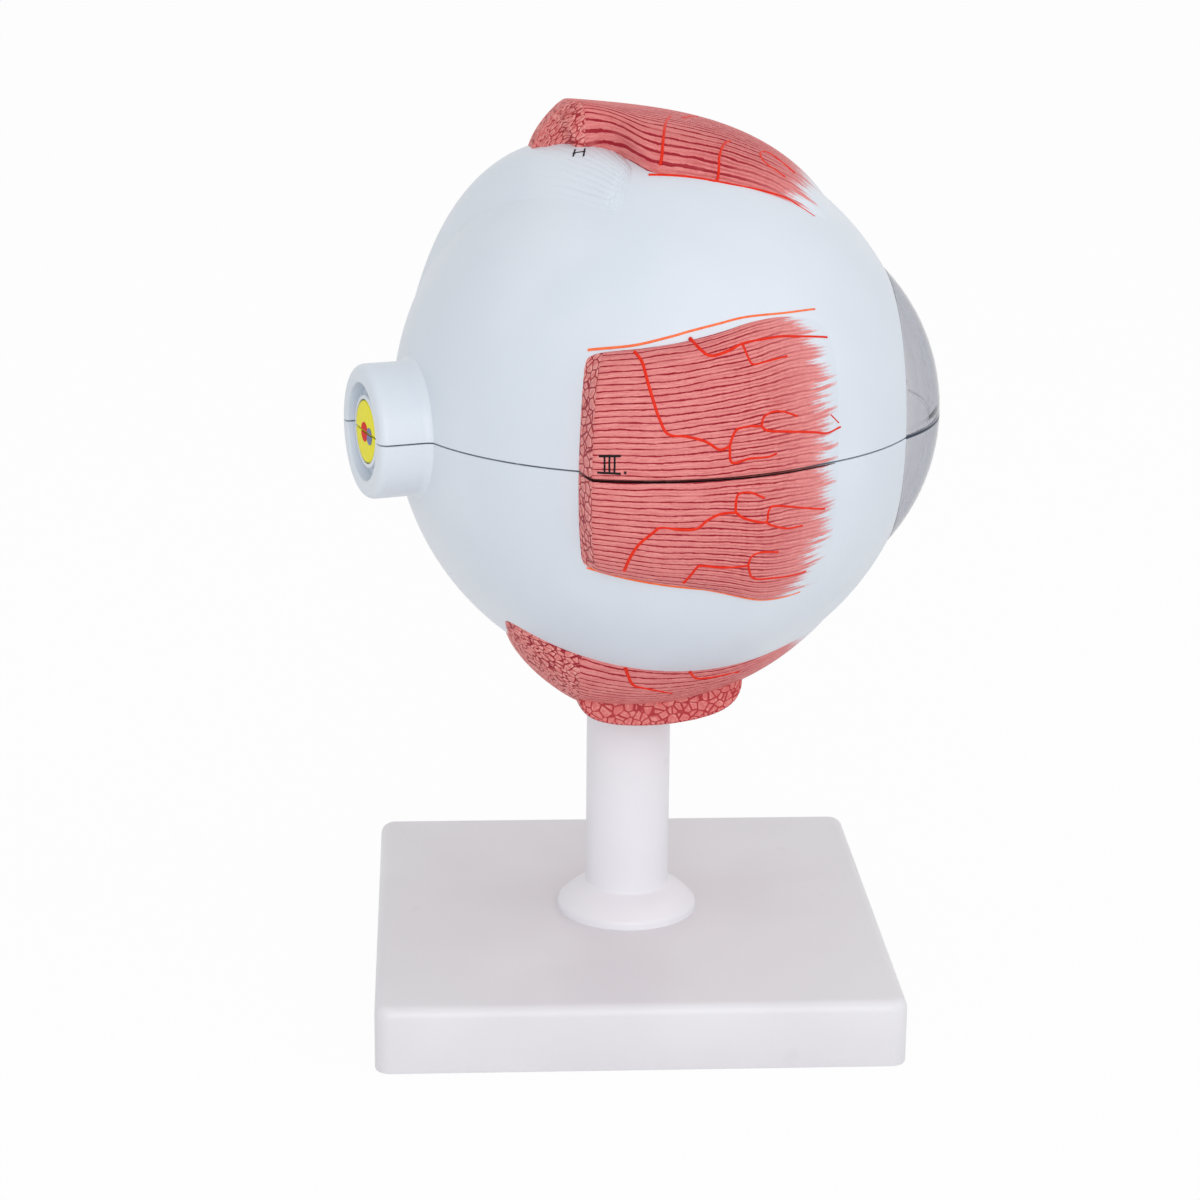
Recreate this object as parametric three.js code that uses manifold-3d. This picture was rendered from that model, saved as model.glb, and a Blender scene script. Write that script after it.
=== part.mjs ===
// Eye anatomy model for the classroom: a left eye, five times life size, on a square stand.
// Millimetres, +Z up. The origin is on the table under the middle of the whole model, which is
// a little ahead of the stem, because the cornea reaches further than the optic nerve.
// +X is the side of the cornea, -X the side of the optic nerve, and -Y the nasal side.
// The ball is cut along a level seam. Inside lie the choroid halves, vitreous body and lens.

import * as THREE from 'three';
import { mergeVertices } from 'three/addons/utils/BufferGeometryUtils.js';
import Module from 'manifold-3d';

const wasm = await Module();
wasm.setup();

// Stand
const STEM_BEHIND_ORIGIN = 2.2;
const BASE_SIDE = 115;
const BASE_HEIGHT = 15.2;
const BASE_WALL = 3;
const BASE_CORNER = 3.5;
const BASE_TOP_ROUND = 2.5;
const POCKET_CORNER = 1.5;
const RIB_THICK = 2.4;
const RIB_SHORT = 1;
const BOSS_RADIUS = 9;
const BOSS_FACE = 5;
const STEM_RADIUS = 9.5;
const COLLAR_RADIUS = 16;
const COLLAR_EDGE = 1.2;
const COLLAR_HEIGHT = 5.5;
const SCREW_RADIUS = 2;
const SCREW_DEPTH = 15;
const SCREW_HEAD_RADIUS = 4;
const SCREW_HEAD_HEIGHT = 2.4;
const SCREW_TIP_LENGTH = 1.5;
const SCREW_TIP_RADIUS = 0.4;
const WASHER_RADIUS = 5.5;
const WASHER_THICK = 1;
const SPIGOT_RADIUS = 5;
const SPIGOT_IN_STEM = 15;
const SPIGOT_IN_SHELL = 2.8;
const SPIGOT_CHAMFER = 0.8;

// Eyeball: half its length along the optic axis, and its radius around that axis
const BALL_HALF_LENGTH = 58.2;
const BALL_RADIUS = 60.3;
const BALL_HEIGHT = 132.8;
const BALL_FORWARD = 5.3;
const EYE_TURN = 3.8;
const SEAM_GAP = 0.5;
const SCLERA_WALL = 4;
const LIMBUS_RADIUS = 31.8;
const CORNEA_BULGE = 13.5;
const CORNEA_WALL = 2.2;
const CORNEA_RIM = 2.2;
const CORNEA_LEDGE = 0.4;
const PIN_RADIUS = 1;
const PIN_LENGTH = 8;
const PIN_ANGLES = [62, 128, -128, -62];

// Optic nerve
const NERVE_ANGLE = 14.2;
const SLEEVE_RADIUS = 14.5;
const SLEEVE_REACH = 68;
const SLEEVE_ROUND = 1.5;
const RECESS_RADIUS = 10.5;
const RECESS_DEPTH = 3;
const NERVE_RIM_RADIUS = 7.9;
const NERVE_RIM_RISE = 2;
const CORE_RADIUS = 6.7;
const CORE_PROUD = 2.1;
const CORE_CHAMFER = 0.4;

// Inner parts
const SHELL_GAP = 0.5;
const CHOROID_WALL = 3;
const IRIS_RADIUS = 27;
const IRIS_THICK = 2;
const PUPIL_RADIUS = 9;
const CILIARY_RADIUS = 24.5;
const CILIARY_DEPTH = 2.6;
const LENS_RADIUS = 22.5;
const LENS_FRONT_CURVE = 50;
const LENS_BACK_CURVE = 30;
const LENS_RIM = 2.4;
const LENS_BEHIND_IRIS = 1;
const VITREOUS_WALL = 2.2;
const VITREOUS_STEP_BACK = 0.6;
const VENT_RADIUS = 1.5;

// Eye muscles, on the ball: degrees from the front of the optic axis, and around that axis.
// A rise is a thickness over the ball, a run the slope of the cut end along the ball.
// The half widths are angles around the axis; bow, thin and pinch shape the taper and the sides,
// and hump is the share of the rise that falls away soon after the cut.
const MEDIAL = {
  backAngle: 109.7, frontAngle: 60, halfBackAngle: 23, halfFrontAngle: 32,
  rise: 6.5, run: 4.4, bow: 1.5, thin: 1.25, hump: 0, pinch: 1,
};
const SUPERIOR = {
  backAngle: 106.5, frontAngle: 51, halfBackAngle: 12, halfFrontAngle: 26,
  rise: 10.9, run: 12, bow: 3.5, thin: 1, hump: 0.63, pinch: 6,
};
const INFERIOR = {
  backAngle: 108.5, frontAngle: 47, halfBackAngle: 35, halfFrontAngle: 26,
  rise: 7.3, run: 20, bow: 1, thin: 1, hump: 0, pinch: 1,
};
const OBLIQUE_BACK_ANGLE = 108.5;
const OBLIQUE_FRONT_ANGLE = 74.5;
const OBLIQUE_NEAR_ANGLE = 71;
const OBLIQUE_FAR_ANGLE = 152;
const OBLIQUE_SWEEP_ANGLE = 16;
const OBLIQUE_RISE = 9.6;
const OBLIQUE_LEAN = 1.5;
const OBLIQUE_CROWN = 2;
const OBLIQUE_NARROWS = 0.35;
const OBLIQUE_THIN = 0.8;
const OBLIQUE_SEAT = 7;
const OBLIQUE_GAP = 0.39;
const TENDON_CUT_ANGLES = [[105.5, 57.5], [98.5, 72.5]];
const TENDON_TURN_ANGLES = [[133, 80], [103, 98]];
const TENDON_END_ANGLES = [[162, 120], [108, 140]];
const TENDON_RISE = 1.8;
const TENDON_SWELL = 18;
const TENDON_SWELL_BACK = 1.5;
const TENDON_SWELL_END = 0.7;
const EDGE_RISE = 0.5;
const SIDE_POWER = 4;
const TENDON_SIDE_POWER = 6;
const TENDON_SWELL_SIDE_POWER = 2;

// Clearances, and how finely each round form is stepped
const FIT_GAP = 0.3;
const CUT_SPARE = 1;
const GROW_UNDER = 3;
const AROUND = 36;
const OUTER_STEP_ANGLE = 10;
const INNER_STEP_ANGLE = 18;
const HOLLOW_STEP_ANGLE = 30;
const LEAST_STEP_ANGLE = 2;
const STEM_SIDES = 32;
const ROD_SIDES = 24;
const SCREW_SIDES = 16;
const PIN_SIDES = 12;
const CORNER_STEPS = 4;
const COLLAR_STEPS = 5;
const CORNEA_STEPS = 6;
const LENS_STEPS = 4;
const RECTUS_STEPS = [12, 8];
const TENDON_STEPS = [14, 8];
const OBLIQUE_STEPS = [14, 8];
const FAR = 400;

const rad = THREE.MathUtils.degToRad;
const deg = THREE.MathUtils.radToDeg;

// Solids

function signedVolume(position, index) {
  const [a, b, c] = [new THREE.Vector3(), new THREE.Vector3(), new THREE.Vector3()];
  let sum = 0;
  for (let i = 0; i < index.length; i += 3) {
    a.fromBufferAttribute(position, index[i]);
    b.fromBufferAttribute(position, index[i + 1]);
    c.fromBufferAttribute(position, index[i + 2]);
    sum += a.dot(b.cross(c));
  }
  return sum / 6;
}

function solid(geometry) {
  const bare = geometry.clone();
  bare.deleteAttribute('normal');
  bare.deleteAttribute('uv');
  const merged = mergeVertices(bare, 1e-4);
  const position = merged.attributes.position;
  const index = [];
  for (let i = 0; i < merged.index.count; i += 3) {
    const [a, b, c] = [0, 1, 2].map((k) => merged.index.getX(i + k));
    if (a !== b && b !== c && c !== a) index.push(a, b, c);
  }
  if (signedVolume(position, index) < 0) index.reverse();
  return new wasm.Manifold(new wasm.Mesh({
    numProp: 3,
    vertProperties: new Float32Array(position.array),
    triVerts: new Uint32Array(index),
  }));
}

function geometryOf(body) {
  const mesh = body.getMesh();
  const geometry = new THREE.BufferGeometry();
  geometry.setAttribute('position', new THREE.BufferAttribute(new Float32Array(mesh.vertProperties), 3));
  geometry.setIndex(Array.from(mesh.triVerts));
  return geometry;
}

function part(name, body, { color, roughness = 0.4, metalness = 0, opacity = 1 }) {
  const material = new THREE.MeshStandardMaterial({
    color, roughness, metalness, opacity, transparent: opacity < 1,
  });
  const mesh = new THREE.Mesh(geometryOf(body).toNonIndexed(), material);
  mesh.geometry.computeVertexNormals();
  mesh.name = name;
  return mesh;
}

// A profile is a list of [along, radius] pairs, turned about the +X axis.
function turned(profile, sides = AROUND) {
  const points = profile.map(([along, radius]) => new THREE.Vector2(radius, along));
  return new THREE.LatheGeometry(points, sides).rotateZ(-Math.PI / 2);
}

// The same, turned about the +Z axis.
function turnedUp(profile, sides = ROD_SIDES) {
  return turned(profile, sides).rotateY(-Math.PI / 2);
}

function rod(radius, from, to, sides = ROD_SIDES) {
  return turned([[from, 0], [from, radius], [to, radius], [to, 0]], sides);
}

function rodUp(radius, from, to, sides = ROD_SIDES) {
  return rod(radius, from, to, sides).rotateY(-Math.PI / 2);
}

// Points on an ellipse whose long axis is the optic axis, between two angles from its front.
function arc(halfLength, radius, from, to, step = INNER_STEP_ANGLE) {
  const angles = [from];
  const direction = Math.sign(to - from);
  const first = direction > 0 ? Math.floor(from / step) + 1 : Math.ceil(from / step) - 1;
  for (let k = first; direction * (k * step) < direction * to - LEAST_STEP_ANGLE; k += direction) {
    if (Math.abs(k * step - from) > LEAST_STEP_ANGLE) angles.push(k * step);
  }
  angles.push(to);
  return angles.map((angle) => {
    const out = angle % 180 === 0 ? 0 : radius * Math.sin(rad(angle));
    return [halfLength * Math.cos(rad(angle)), out];
  });
}

// Points on a circle about a centre on the axis, from one radius out from the axis to another.
function bowl(centre, curve, side, fromRadius, toRadius, steps) {
  const from = Math.asin(fromRadius / curve);
  const to = Math.asin(toRadius / curve);
  return Array.from({ length: steps + 1 }, (_, i) => {
    const angle = from + ((to - from) * i) / steps;
    return [centre + side * curve * Math.cos(angle), Math.abs(curve * Math.sin(angle))];
  });
}

const alongAt = (halfLength, radius, out) => halfLength * Math.sqrt(1 - (out / radius) ** 2);
const outAt = (halfLength, radius, along) => radius * Math.sqrt(1 - (along / halfLength) ** 2);

function halfSpace(side) {
  return solid(new THREE.BoxGeometry(FAR, FAR, FAR).translate(0, 0, (side * (FAR + SEAM_GAP)) / 2));
}

const above = halfSpace(1);
const below = halfSpace(-1);

// Sizes worked out from the driving ones

const scleraIn = [BALL_HALF_LENGTH - SCLERA_WALL, BALL_RADIUS - SCLERA_WALL];
const choroidOut = scleraIn.map((half) => half - SHELL_GAP);
const choroidIn = choroidOut.map((half) => half - CHOROID_WALL);
const vitreousOut = choroidIn.map((half) => half - SHELL_GAP);
const vitreousIn = vitreousOut.map((half) => half - VITREOUS_WALL);

const limbusAlong = alongAt(BALL_HALF_LENGTH, BALL_RADIUS, LIMBUS_RADIUS);
const limbusAngle = deg(Math.acos(limbusAlong / BALL_HALF_LENGTH));
const limbusInside = [scleraIn[0] * Math.cos(rad(limbusAngle)), scleraIn[1] * Math.sin(rad(limbusAngle))];
const corneaTip = limbusAlong + CORNEA_BULGE;
const corneaCurve = (LIMBUS_RADIUS ** 2 + CORNEA_BULGE ** 2) / (2 * CORNEA_BULGE);
const corneaCentre = corneaTip - corneaCurve;

const irisFront = limbusInside[0] - SHELL_GAP - FIT_GAP;
const irisBack = irisFront - IRIS_THICK;
const ciliaryFront = irisBack - FIT_GAP;
const ciliaryBack = ciliaryFront - CILIARY_DEPTH;
const lensTip = irisBack - LENS_BEHIND_IRIS;
const lensFrontCentre = lensTip - LENS_FRONT_CURVE;
const lensRimFront = lensFrontCentre + Math.sqrt(LENS_FRONT_CURVE ** 2 - LENS_RADIUS ** 2);
const lensRimBack = lensRimFront - LENS_RIM;
const lensBackCentre = lensRimBack + Math.sqrt(LENS_BACK_CURVE ** 2 - LENS_RADIUS ** 2);
const vitreousFront = ciliaryBack - CILIARY_DEPTH - VITREOUS_STEP_BACK;

const seatDepth = BALL_RADIUS + OBLIQUE_SEAT;
const blockUnderside = BALL_HEIGHT - seatDepth;
const stemTop = blockUnderside - FIT_GAP;
const stemAxisDepth = outAt(BALL_HALF_LENGTH, BALL_RADIUS, BALL_FORWARD);
const spigotTop = BALL_HEIGHT - stemAxisDepth + SPIGOT_IN_SHELL;

// Colours

const WHITE_STAND = { color: 0xe4e3e8, roughness: 0.35 };
const WHITE_SHELL = { color: 0xd9e0e9, roughness: 0.35 };
const CLEAR = { color: 0xe6ebf0, roughness: 0.05, opacity: 0.3 };
const MUSCLE = { color: 0xd0787f, roughness: 0.5 };
const NERVE_YELLOW = { color: 0xe8de3c, roughness: 0.5 };
const STEEL = { color: 0xb8bbc0, roughness: 0.3, metalness: 1 };
const CHOROID_RED = { color: 0x9c3a2e, roughness: 0.45 };
const IRIS_BLUE = { color: 0x5d83a8, roughness: 0.4 };

// Stand pieces

function roundedSquare(side, corner) {
  const half = side / 2;
  const shape = new THREE.Shape();
  const corners = [[1, -1, -90], [1, 1, 0], [-1, 1, 90], [-1, -1, 180]];
  for (const [sx, sy, start] of corners) {
    const [x, y] = [sx * (half - corner), sy * (half - corner)];
    shape.absarc(x, y, corner, rad(start), rad(start + 90), false);
  }
  return shape;
}

function slab(side, corner, height, round) {
  const shape = roundedSquare(side - 2 * round, corner - round);
  const block = solid(new THREE.ExtrudeGeometry(shape, {
    depth: height - round + FAR / 10, bevelEnabled: round > 0, bevelSize: round, bevelThickness: round,
    bevelSegments: CORNER_STEPS, curveSegments: CORNER_STEPS,
  }).translate(0, 0, -FAR / 10));
  const floor = solid(new THREE.BoxGeometry(FAR, FAR, FAR).translate(0, 0, -FAR / 2));
  return block.subtract(floor);
}

function basePlate() {
  const ceiling = BASE_HEIGHT - BASE_WALL;
  const inside = BASE_SIDE - 2 * BASE_WALL;
  const hollow = solid(new THREE.ExtrudeGeometry(roundedSquare(inside, POCKET_CORNER), {
    depth: ceiling + CUT_SPARE, bevelEnabled: false, curveSegments: CORNER_STEPS,
  }).translate(0, 0, -CUT_SPARE));
  const ribHeight = BASE_HEIGHT - RIB_SHORT - BASE_WALL / 2;
  const ribMiddle = RIB_SHORT + ribHeight / 2;
  const ribLength = inside + BASE_WALL;
  const ribAlong = solid(new THREE.BoxGeometry(ribLength, RIB_THICK, ribHeight).translate(0, 0, ribMiddle));
  const ribAcross = solid(new THREE.BoxGeometry(RIB_THICK, ribLength, ribHeight).translate(0, 0, ribMiddle));
  const boss = solid(rodUp(BOSS_RADIUS, BOSS_FACE, BASE_HEIGHT - BASE_WALL / 2));
  const underBoss = solid(rodUp(BOSS_RADIUS, -CUT_SPARE, BOSS_FACE));
  const holeTop = BASE_HEIGHT + CUT_SPARE;
  const screwHole = solid(rodUp(SCREW_RADIUS + FIT_GAP, -CUT_SPARE, holeTop, SCREW_SIDES));
  return slab(BASE_SIDE, BASE_CORNER, BASE_HEIGHT, BASE_TOP_ROUND)
    .subtract(hollow)
    .add(ribAlong)
    .add(ribAcross)
    .add(boss)
    .subtract(underBoss)
    .subtract(screwHole);
}

function stem() {
  const foot = BASE_HEIGHT;
  const holeTop = foot + SCREW_DEPTH + CUT_SPARE;
  const profile = [
    [holeTop, 0],
    [holeTop, SCREW_RADIUS + FIT_GAP],
    [foot, SCREW_RADIUS + FIT_GAP],
    [foot, COLLAR_RADIUS],
    [foot + COLLAR_EDGE, COLLAR_RADIUS],
  ];
  const sweep = COLLAR_RADIUS - STEM_RADIUS;
  for (let i = 1; i <= COLLAR_STEPS; i += 1) {
    const turn = rad((90 * i) / COLLAR_STEPS);
    const rise = (COLLAR_HEIGHT - COLLAR_EDGE) * (1 - Math.cos(turn));
    profile.push([foot + COLLAR_EDGE + rise, COLLAR_RADIUS - sweep * Math.sin(turn)]);
  }
  profile.push(
    [stemTop, STEM_RADIUS],
    [stemTop, SPIGOT_RADIUS + FIT_GAP],
    [stemTop - SPIGOT_IN_STEM - FIT_GAP, SPIGOT_RADIUS + FIT_GAP],
    [stemTop - SPIGOT_IN_STEM - FIT_GAP, 0],
  );
  return solid(turnedUp(profile, STEM_SIDES));
}

function eyeSpigot() {
  const foot = stemTop - SPIGOT_IN_STEM;
  const shoulder = spigotTop - SPIGOT_CHAMFER;
  return solid(turnedUp([
    [foot, 0], [foot, SPIGOT_RADIUS], [shoulder, SPIGOT_RADIUS],
    [spigotTop, SPIGOT_RADIUS - SPIGOT_CHAMFER], [spigotTop, 0],
  ]));
}

function stemScrew() {
  const headTop = BOSS_FACE - WASHER_THICK - 2 * FIT_GAP;
  const headFoot = headTop - SCREW_HEAD_HEIGHT;
  const round = SCREW_HEAD_HEIGHT / 3;
  const tip = BASE_HEIGHT + SCREW_DEPTH;
  const body = solid(turnedUp([
    [headFoot, 0], [headFoot, SCREW_HEAD_RADIUS - round], [headFoot + round, SCREW_HEAD_RADIUS],
    [headTop, SCREW_HEAD_RADIUS], [headTop, SCREW_RADIUS], [tip - SCREW_TIP_LENGTH, SCREW_RADIUS],
    [tip, SCREW_TIP_RADIUS], [tip, 0],
  ], SCREW_SIDES));
  const slot = [SCREW_HEAD_RADIUS, SCREW_HEAD_RADIUS / 5, SCREW_HEAD_HEIGHT];
  const bar = solid(new THREE.BoxGeometry(...slot).translate(0, 0, headFoot));
  const cross = solid(new THREE.BoxGeometry(slot[1], slot[0], slot[2]).translate(0, 0, headFoot));
  return body.subtract(bar).subtract(cross);
}

function screwWasher() {
  const top = BOSS_FACE - FIT_GAP;
  const hole = SCREW_RADIUS + FIT_GAP;
  const foot = top - WASHER_THICK;
  return solid(turnedUp([
    [foot, hole], [foot, WASHER_RADIUS], [top, WASHER_RADIUS], [top, hole], [foot, hole],
  ]));
}

// Eyeball shells

function towardsNerve(geometry) {
  return geometry.rotateZ(Math.PI + rad(NERVE_ANGLE));
}

function innerBall() {
  return solid(turned(arc(...scleraIn, 180, 0)));
}

function scleraShell() {
  const shell = solid(turned([
    ...arc(BALL_HALF_LENGTH, BALL_RADIUS, 180, limbusAngle, OUTER_STEP_ANGLE),
    ...arc(...scleraIn, limbusAngle, 180),
  ]));
  const round = [0, 30, 60, 90].map((turn) => [
    SLEEVE_REACH - SLEEVE_ROUND * (1 - Math.sin(rad(turn))),
    SLEEVE_RADIUS - SLEEVE_ROUND * (1 - Math.cos(rad(turn))),
  ]);
  const sleeve = solid(towardsNerve(turned([
    [scleraIn[0] / 2, 0], [scleraIn[0] / 2, SLEEVE_RADIUS], ...round, [SLEEVE_REACH, 0],
  ])));
  const recessFloor = SLEEVE_REACH - RECESS_DEPTH;
  const pastEnd = SLEEVE_REACH + CUT_SPARE;
  const bore = solid(towardsNerve(rod(CORE_RADIUS + FIT_GAP, 0, pastEnd, AROUND)));
  const rimTop = recessFloor + NERVE_RIM_RISE;
  const rim = solid(towardsNerve(rod(NERVE_RIM_RADIUS, recessFloor - CUT_SPARE, rimTop, AROUND)));
  const recess = solid(towardsNerve(rod(RECESS_RADIUS, recessFloor, pastEnd, AROUND))).subtract(rim);
  return shell.add(sleeve.subtract(innerBall())).subtract(bore).subtract(recess);
}

function nerveCore() {
  const end = SLEEVE_REACH - RECESS_DEPTH + CORE_PROUD;
  const core = solid(towardsNerve(turned([
    [scleraIn[0] / 2, 0], [scleraIn[0] / 2, CORE_RADIUS], [end - CORE_CHAMFER, CORE_RADIUS],
    [end, CORE_RADIUS - CORE_CHAMFER], [end, 0],
  ])));
  return core.subtract(innerBall());
}

function cornea() {
  const rimInside = limbusInside[1] - FIT_GAP - CORNEA_RIM;
  const foot = limbusInside[0] + FIT_GAP / 2;
  return solid(turned([
    ...bowl(corneaCentre, corneaCurve, 1, 0, LIMBUS_RADIUS - FIT_GAP, CORNEA_STEPS),
    [foot, limbusInside[1] - FIT_GAP],
    [foot, rimInside],
    ...bowl(corneaCentre, corneaCurve - CORNEA_WALL, 1, rimInside + CORNEA_LEDGE, 0, CORNEA_STEPS - 1),
  ]));
}

function pinSpot(angle) {
  const mid = SCLERA_WALL / 2;
  const [along, out] = [BALL_HALF_LENGTH - mid, BALL_RADIUS - mid];
  return [along * Math.cos(rad(angle)), out * Math.sin(rad(angle))];
}

function pinHoles() {
  const depth = PIN_LENGTH / 2 + FIT_GAP;
  const hole = rodUp(PIN_RADIUS + FIT_GAP, -depth, depth, PIN_SIDES);
  return PIN_ANGLES.map((angle) => solid(hole.clone().translate(...pinSpot(angle), 0)))
    .reduce((all, next) => all.add(next));
}

function rimPin(angle) {
  const [half, chamfer] = [PIN_LENGTH / 2, PIN_RADIUS / 3];
  return solid(turnedUp([
    [-half, 0], [-half, PIN_RADIUS], [half - chamfer, PIN_RADIUS], [half, PIN_RADIUS - chamfer], [half, 0],
  ], PIN_SIDES).translate(...pinSpot(angle), 0));
}

function spigotHole() {
  const top = spigotTop + FIT_GAP - BALL_HEIGHT;
  return solid(rodUp(SPIGOT_RADIUS + FIT_GAP, top - FAR / 8, top).translate(-BALL_FORWARD, 0, 0));
}

// The room that the top of the stem keeps under the eye, flat where the muscle rests on it.
function stemSeat() {
  return solid(new THREE.BoxGeometry(FAR, FAR, FAR).translate(0, 0, -seatDepth - FAR / 2));
}

// Inner pieces

function choroidShell() {
  const openingAngle = deg(Math.acos(irisFront / choroidOut[0]));
  const lipAlong = ciliaryBack - CILIARY_DEPTH;
  const lipAngle = deg(Math.acos(lipAlong / choroidIn[0]));
  return solid(turned([
    ...arc(...choroidOut, 180, openingAngle),
    [irisFront, IRIS_RADIUS + FIT_GAP],
    [ciliaryFront, IRIS_RADIUS + FIT_GAP],
    [ciliaryFront, CILIARY_RADIUS],
    [ciliaryBack, CILIARY_RADIUS],
    ...arc(...choroidIn, lipAngle, 180),
  ]));
}

function iris() {
  const lip = IRIS_THICK / 3;
  return solid(turned([
    [irisBack, PUPIL_RADIUS + lip], [irisBack, IRIS_RADIUS], [irisFront, IRIS_RADIUS],
    [irisFront - lip / 2, (IRIS_RADIUS + PUPIL_RADIUS) / 2], [irisFront, PUPIL_RADIUS + 2 * lip],
    [irisFront - lip, PUPIL_RADIUS], [irisBack + lip, PUPIL_RADIUS], [irisBack, PUPIL_RADIUS + lip],
  ]));
}

function lens() {
  return solid(turned([
    ...bowl(lensFrontCentre, LENS_FRONT_CURVE, 1, 0, LENS_RADIUS, LENS_STEPS),
    ...bowl(lensBackCentre, LENS_BACK_CURVE, -1, LENS_RADIUS, 0, LENS_STEPS),
  ]));
}

function vitreousBody() {
  const dishRadius = LENS_RADIUS + SHELL_GAP;
  const dishCurve = LENS_BACK_CURVE + SHELL_GAP;
  const hollowFront = vitreousFront - VITREOUS_WALL;
  const dishOuter = dishRadius + VITREOUS_WALL;
  const outerAngle = deg(Math.acos(vitreousFront / vitreousOut[0]));
  const innerAngle = deg(Math.acos(hollowFront / vitreousIn[0]));
  const ventOuter = 180 - deg(Math.asin(VENT_RADIUS / vitreousOut[1]));
  const ventInner = 180 - deg(Math.asin(VENT_RADIUS / vitreousIn[1]));
  return solid(turned([
    ...bowl(lensBackCentre, dishCurve, -1, 0, dishRadius, LENS_STEPS),
    [vitreousFront, dishRadius],
    ...arc(...vitreousOut, outerAngle, ventOuter),
    ...arc(...vitreousIn, ventInner, innerAngle, HOLLOW_STEP_ANGLE),
    [hollowFront, dishOuter],
    ...bowl(lensBackCentre, dishCurve + VITREOUS_WALL, -1, dishOuter, 0, LENS_STEPS - 1),
  ]));
}

// Eye muscles

// A point over the ball: degrees from the optic axis, degrees around it from the nasal side
// upwards, and height over the ball.
function overBall(angle, around, height) {
  const along = (BALL_HALF_LENGTH + height) * Math.cos(rad(angle));
  const out = (BALL_RADIUS + height) * Math.sin(rad(angle));
  return [along, -out * Math.cos(rad(around)), out * Math.sin(rad(around))];
}

// A closed sheet over the ball: place(s, v, outer) gives the angle from the optic axis and the
// angle around it, and rise(s, v) its thickness over its foot. s runs 0 to 1, v runs -1 to 1.
function sheet(place, rise, rows, columns, foot = FIT_GAP) {
  const count = (rows + 1) * (columns + 1);
  const points = [];
  for (const outer of [true, false]) {
    for (let i = 0; i <= rows; i += 1) {
      for (let j = 0; j <= columns; j += 1) {
        const [s, v] = [i / rows, (2 * j) / columns - 1];
        points.push(...overBall(...place(s, v, outer), foot + (outer ? rise(s, v) : 0)));
      }
    }
  }
  const at = (layer, i, j) => layer * count + i * (columns + 1) + j;
  const index = [];
  const quad = (a, b, c, d) => index.push(a, b, c, a, c, d);
  for (let i = 0; i < rows; i += 1) {
    for (let j = 0; j < columns; j += 1) {
      quad(at(0, i, j), at(0, i + 1, j), at(0, i + 1, j + 1), at(0, i, j + 1));
      quad(at(1, i, j), at(1, i, j + 1), at(1, i + 1, j + 1), at(1, i + 1, j));
    }
    quad(at(0, i, 0), at(1, i, 0), at(1, i + 1, 0), at(0, i + 1, 0));
    quad(at(0, i, columns), at(0, i + 1, columns), at(1, i + 1, columns), at(1, i, columns));
  }
  for (let j = 0; j < columns; j += 1) {
    quad(at(0, 0, j), at(0, 0, j + 1), at(1, 0, j + 1), at(1, 0, j));
    quad(at(0, rows, j), at(1, rows, j), at(1, rows, j + 1), at(0, rows, j + 1));
  }
  const geometry = new THREE.BufferGeometry();
  geometry.setAttribute('position', new THREE.Float32BufferAttribute(points, 3));
  geometry.setIndex(index);
  return solid(geometry);
}

// A straight muscle: thick where it is cut through behind, thinning to its tendon in front.
// With grow, it is the muscle and the clearance that a piece crossing it keeps: it stands one
// clearance higher and wider, and reaches a few lower, so that the cut runs through its foot.
function rectus(middle, size, grow = 0) {
  const runAngle = deg(size.run / BALL_RADIUS);
  const growAngle = deg(grow / BALL_RADIUS);
  const deeper = 1 + (2 * GROW_UNDER * grow) / size.rise;
  const place = (s, v, outer) => {
    const back = size.backAngle + (outer ? 0 : runAngle * deeper) + growAngle;
    const front = size.frontAngle - growAngle;
    const narrower = (size.halfFrontAngle - size.halfBackAngle) * (1 - s) ** size.pinch;
    const half = size.halfFrontAngle - narrower + growAngle;
    return [back + (front - back) * s, middle + v * half];
  };
  const rise = (s, v) => {
    const taper = (1 - size.hump) * (1 - s ** size.bow) ** size.thin + size.hump * (1 - s) ** 4;
    const body = size.rise * taper * (1 - Math.abs(v) ** SIDE_POWER);
    return Math.max(body, EDGE_RISE) + (GROW_UNDER + 1) * grow;
  };
  return sheet(place, rise, ...RECTUS_STEPS, FIT_GAP - GROW_UNDER * grow);
}

// The tendon of the upper oblique muscle: a low strap, cut off on the nasal side, that passes
// under the upper rectus and swells into a broad mound over the back of the ball.
function superiorOblique(grow = 0) {
  const width = TENDON_CUT_ANGLES[1][1] - TENDON_CUT_ANGLES[0][1];
  const wider = 1 + (2 * deg(grow / BALL_RADIUS)) / width;
  const mix = (a, b, t) => a + (b - a) * t;
  const bend = (a, b, c, t) => mix(mix(a, b, t), mix(b, c, t), t);
  const place = (s, v) => {
    const along = mix(0.5, s, wider);
    const across = mix(0.5, (v + 1) / 2, wider);
    return [0, 1].map((k) => {
      const at = (line) => mix(line[0][k], line[1][k], across);
      return bend(at(TENDON_CUT_ANGLES), at(TENDON_TURN_ANGLES), at(TENDON_END_ANGLES), along);
    });
  };
  const rise = (s, v) => {
    const strap = TENDON_RISE * (1 - s) ** 2;
    const swell = TENDON_SWELL * s ** TENDON_SWELL_BACK * (1 - s) ** TENDON_SWELL_END;
    const power = mix(TENDON_SIDE_POWER, TENDON_SWELL_SIDE_POWER, Math.min(1, 2 * s));
    const body = (strap + swell) * (1 - Math.abs(v) ** power);
    return Math.max(body, EDGE_RISE) + (GROW_UNDER + 1) * grow;
  };
  return sheet(place, rise, ...TENDON_STEPS, FIT_GAP - GROW_UNDER * grow);
}

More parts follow.
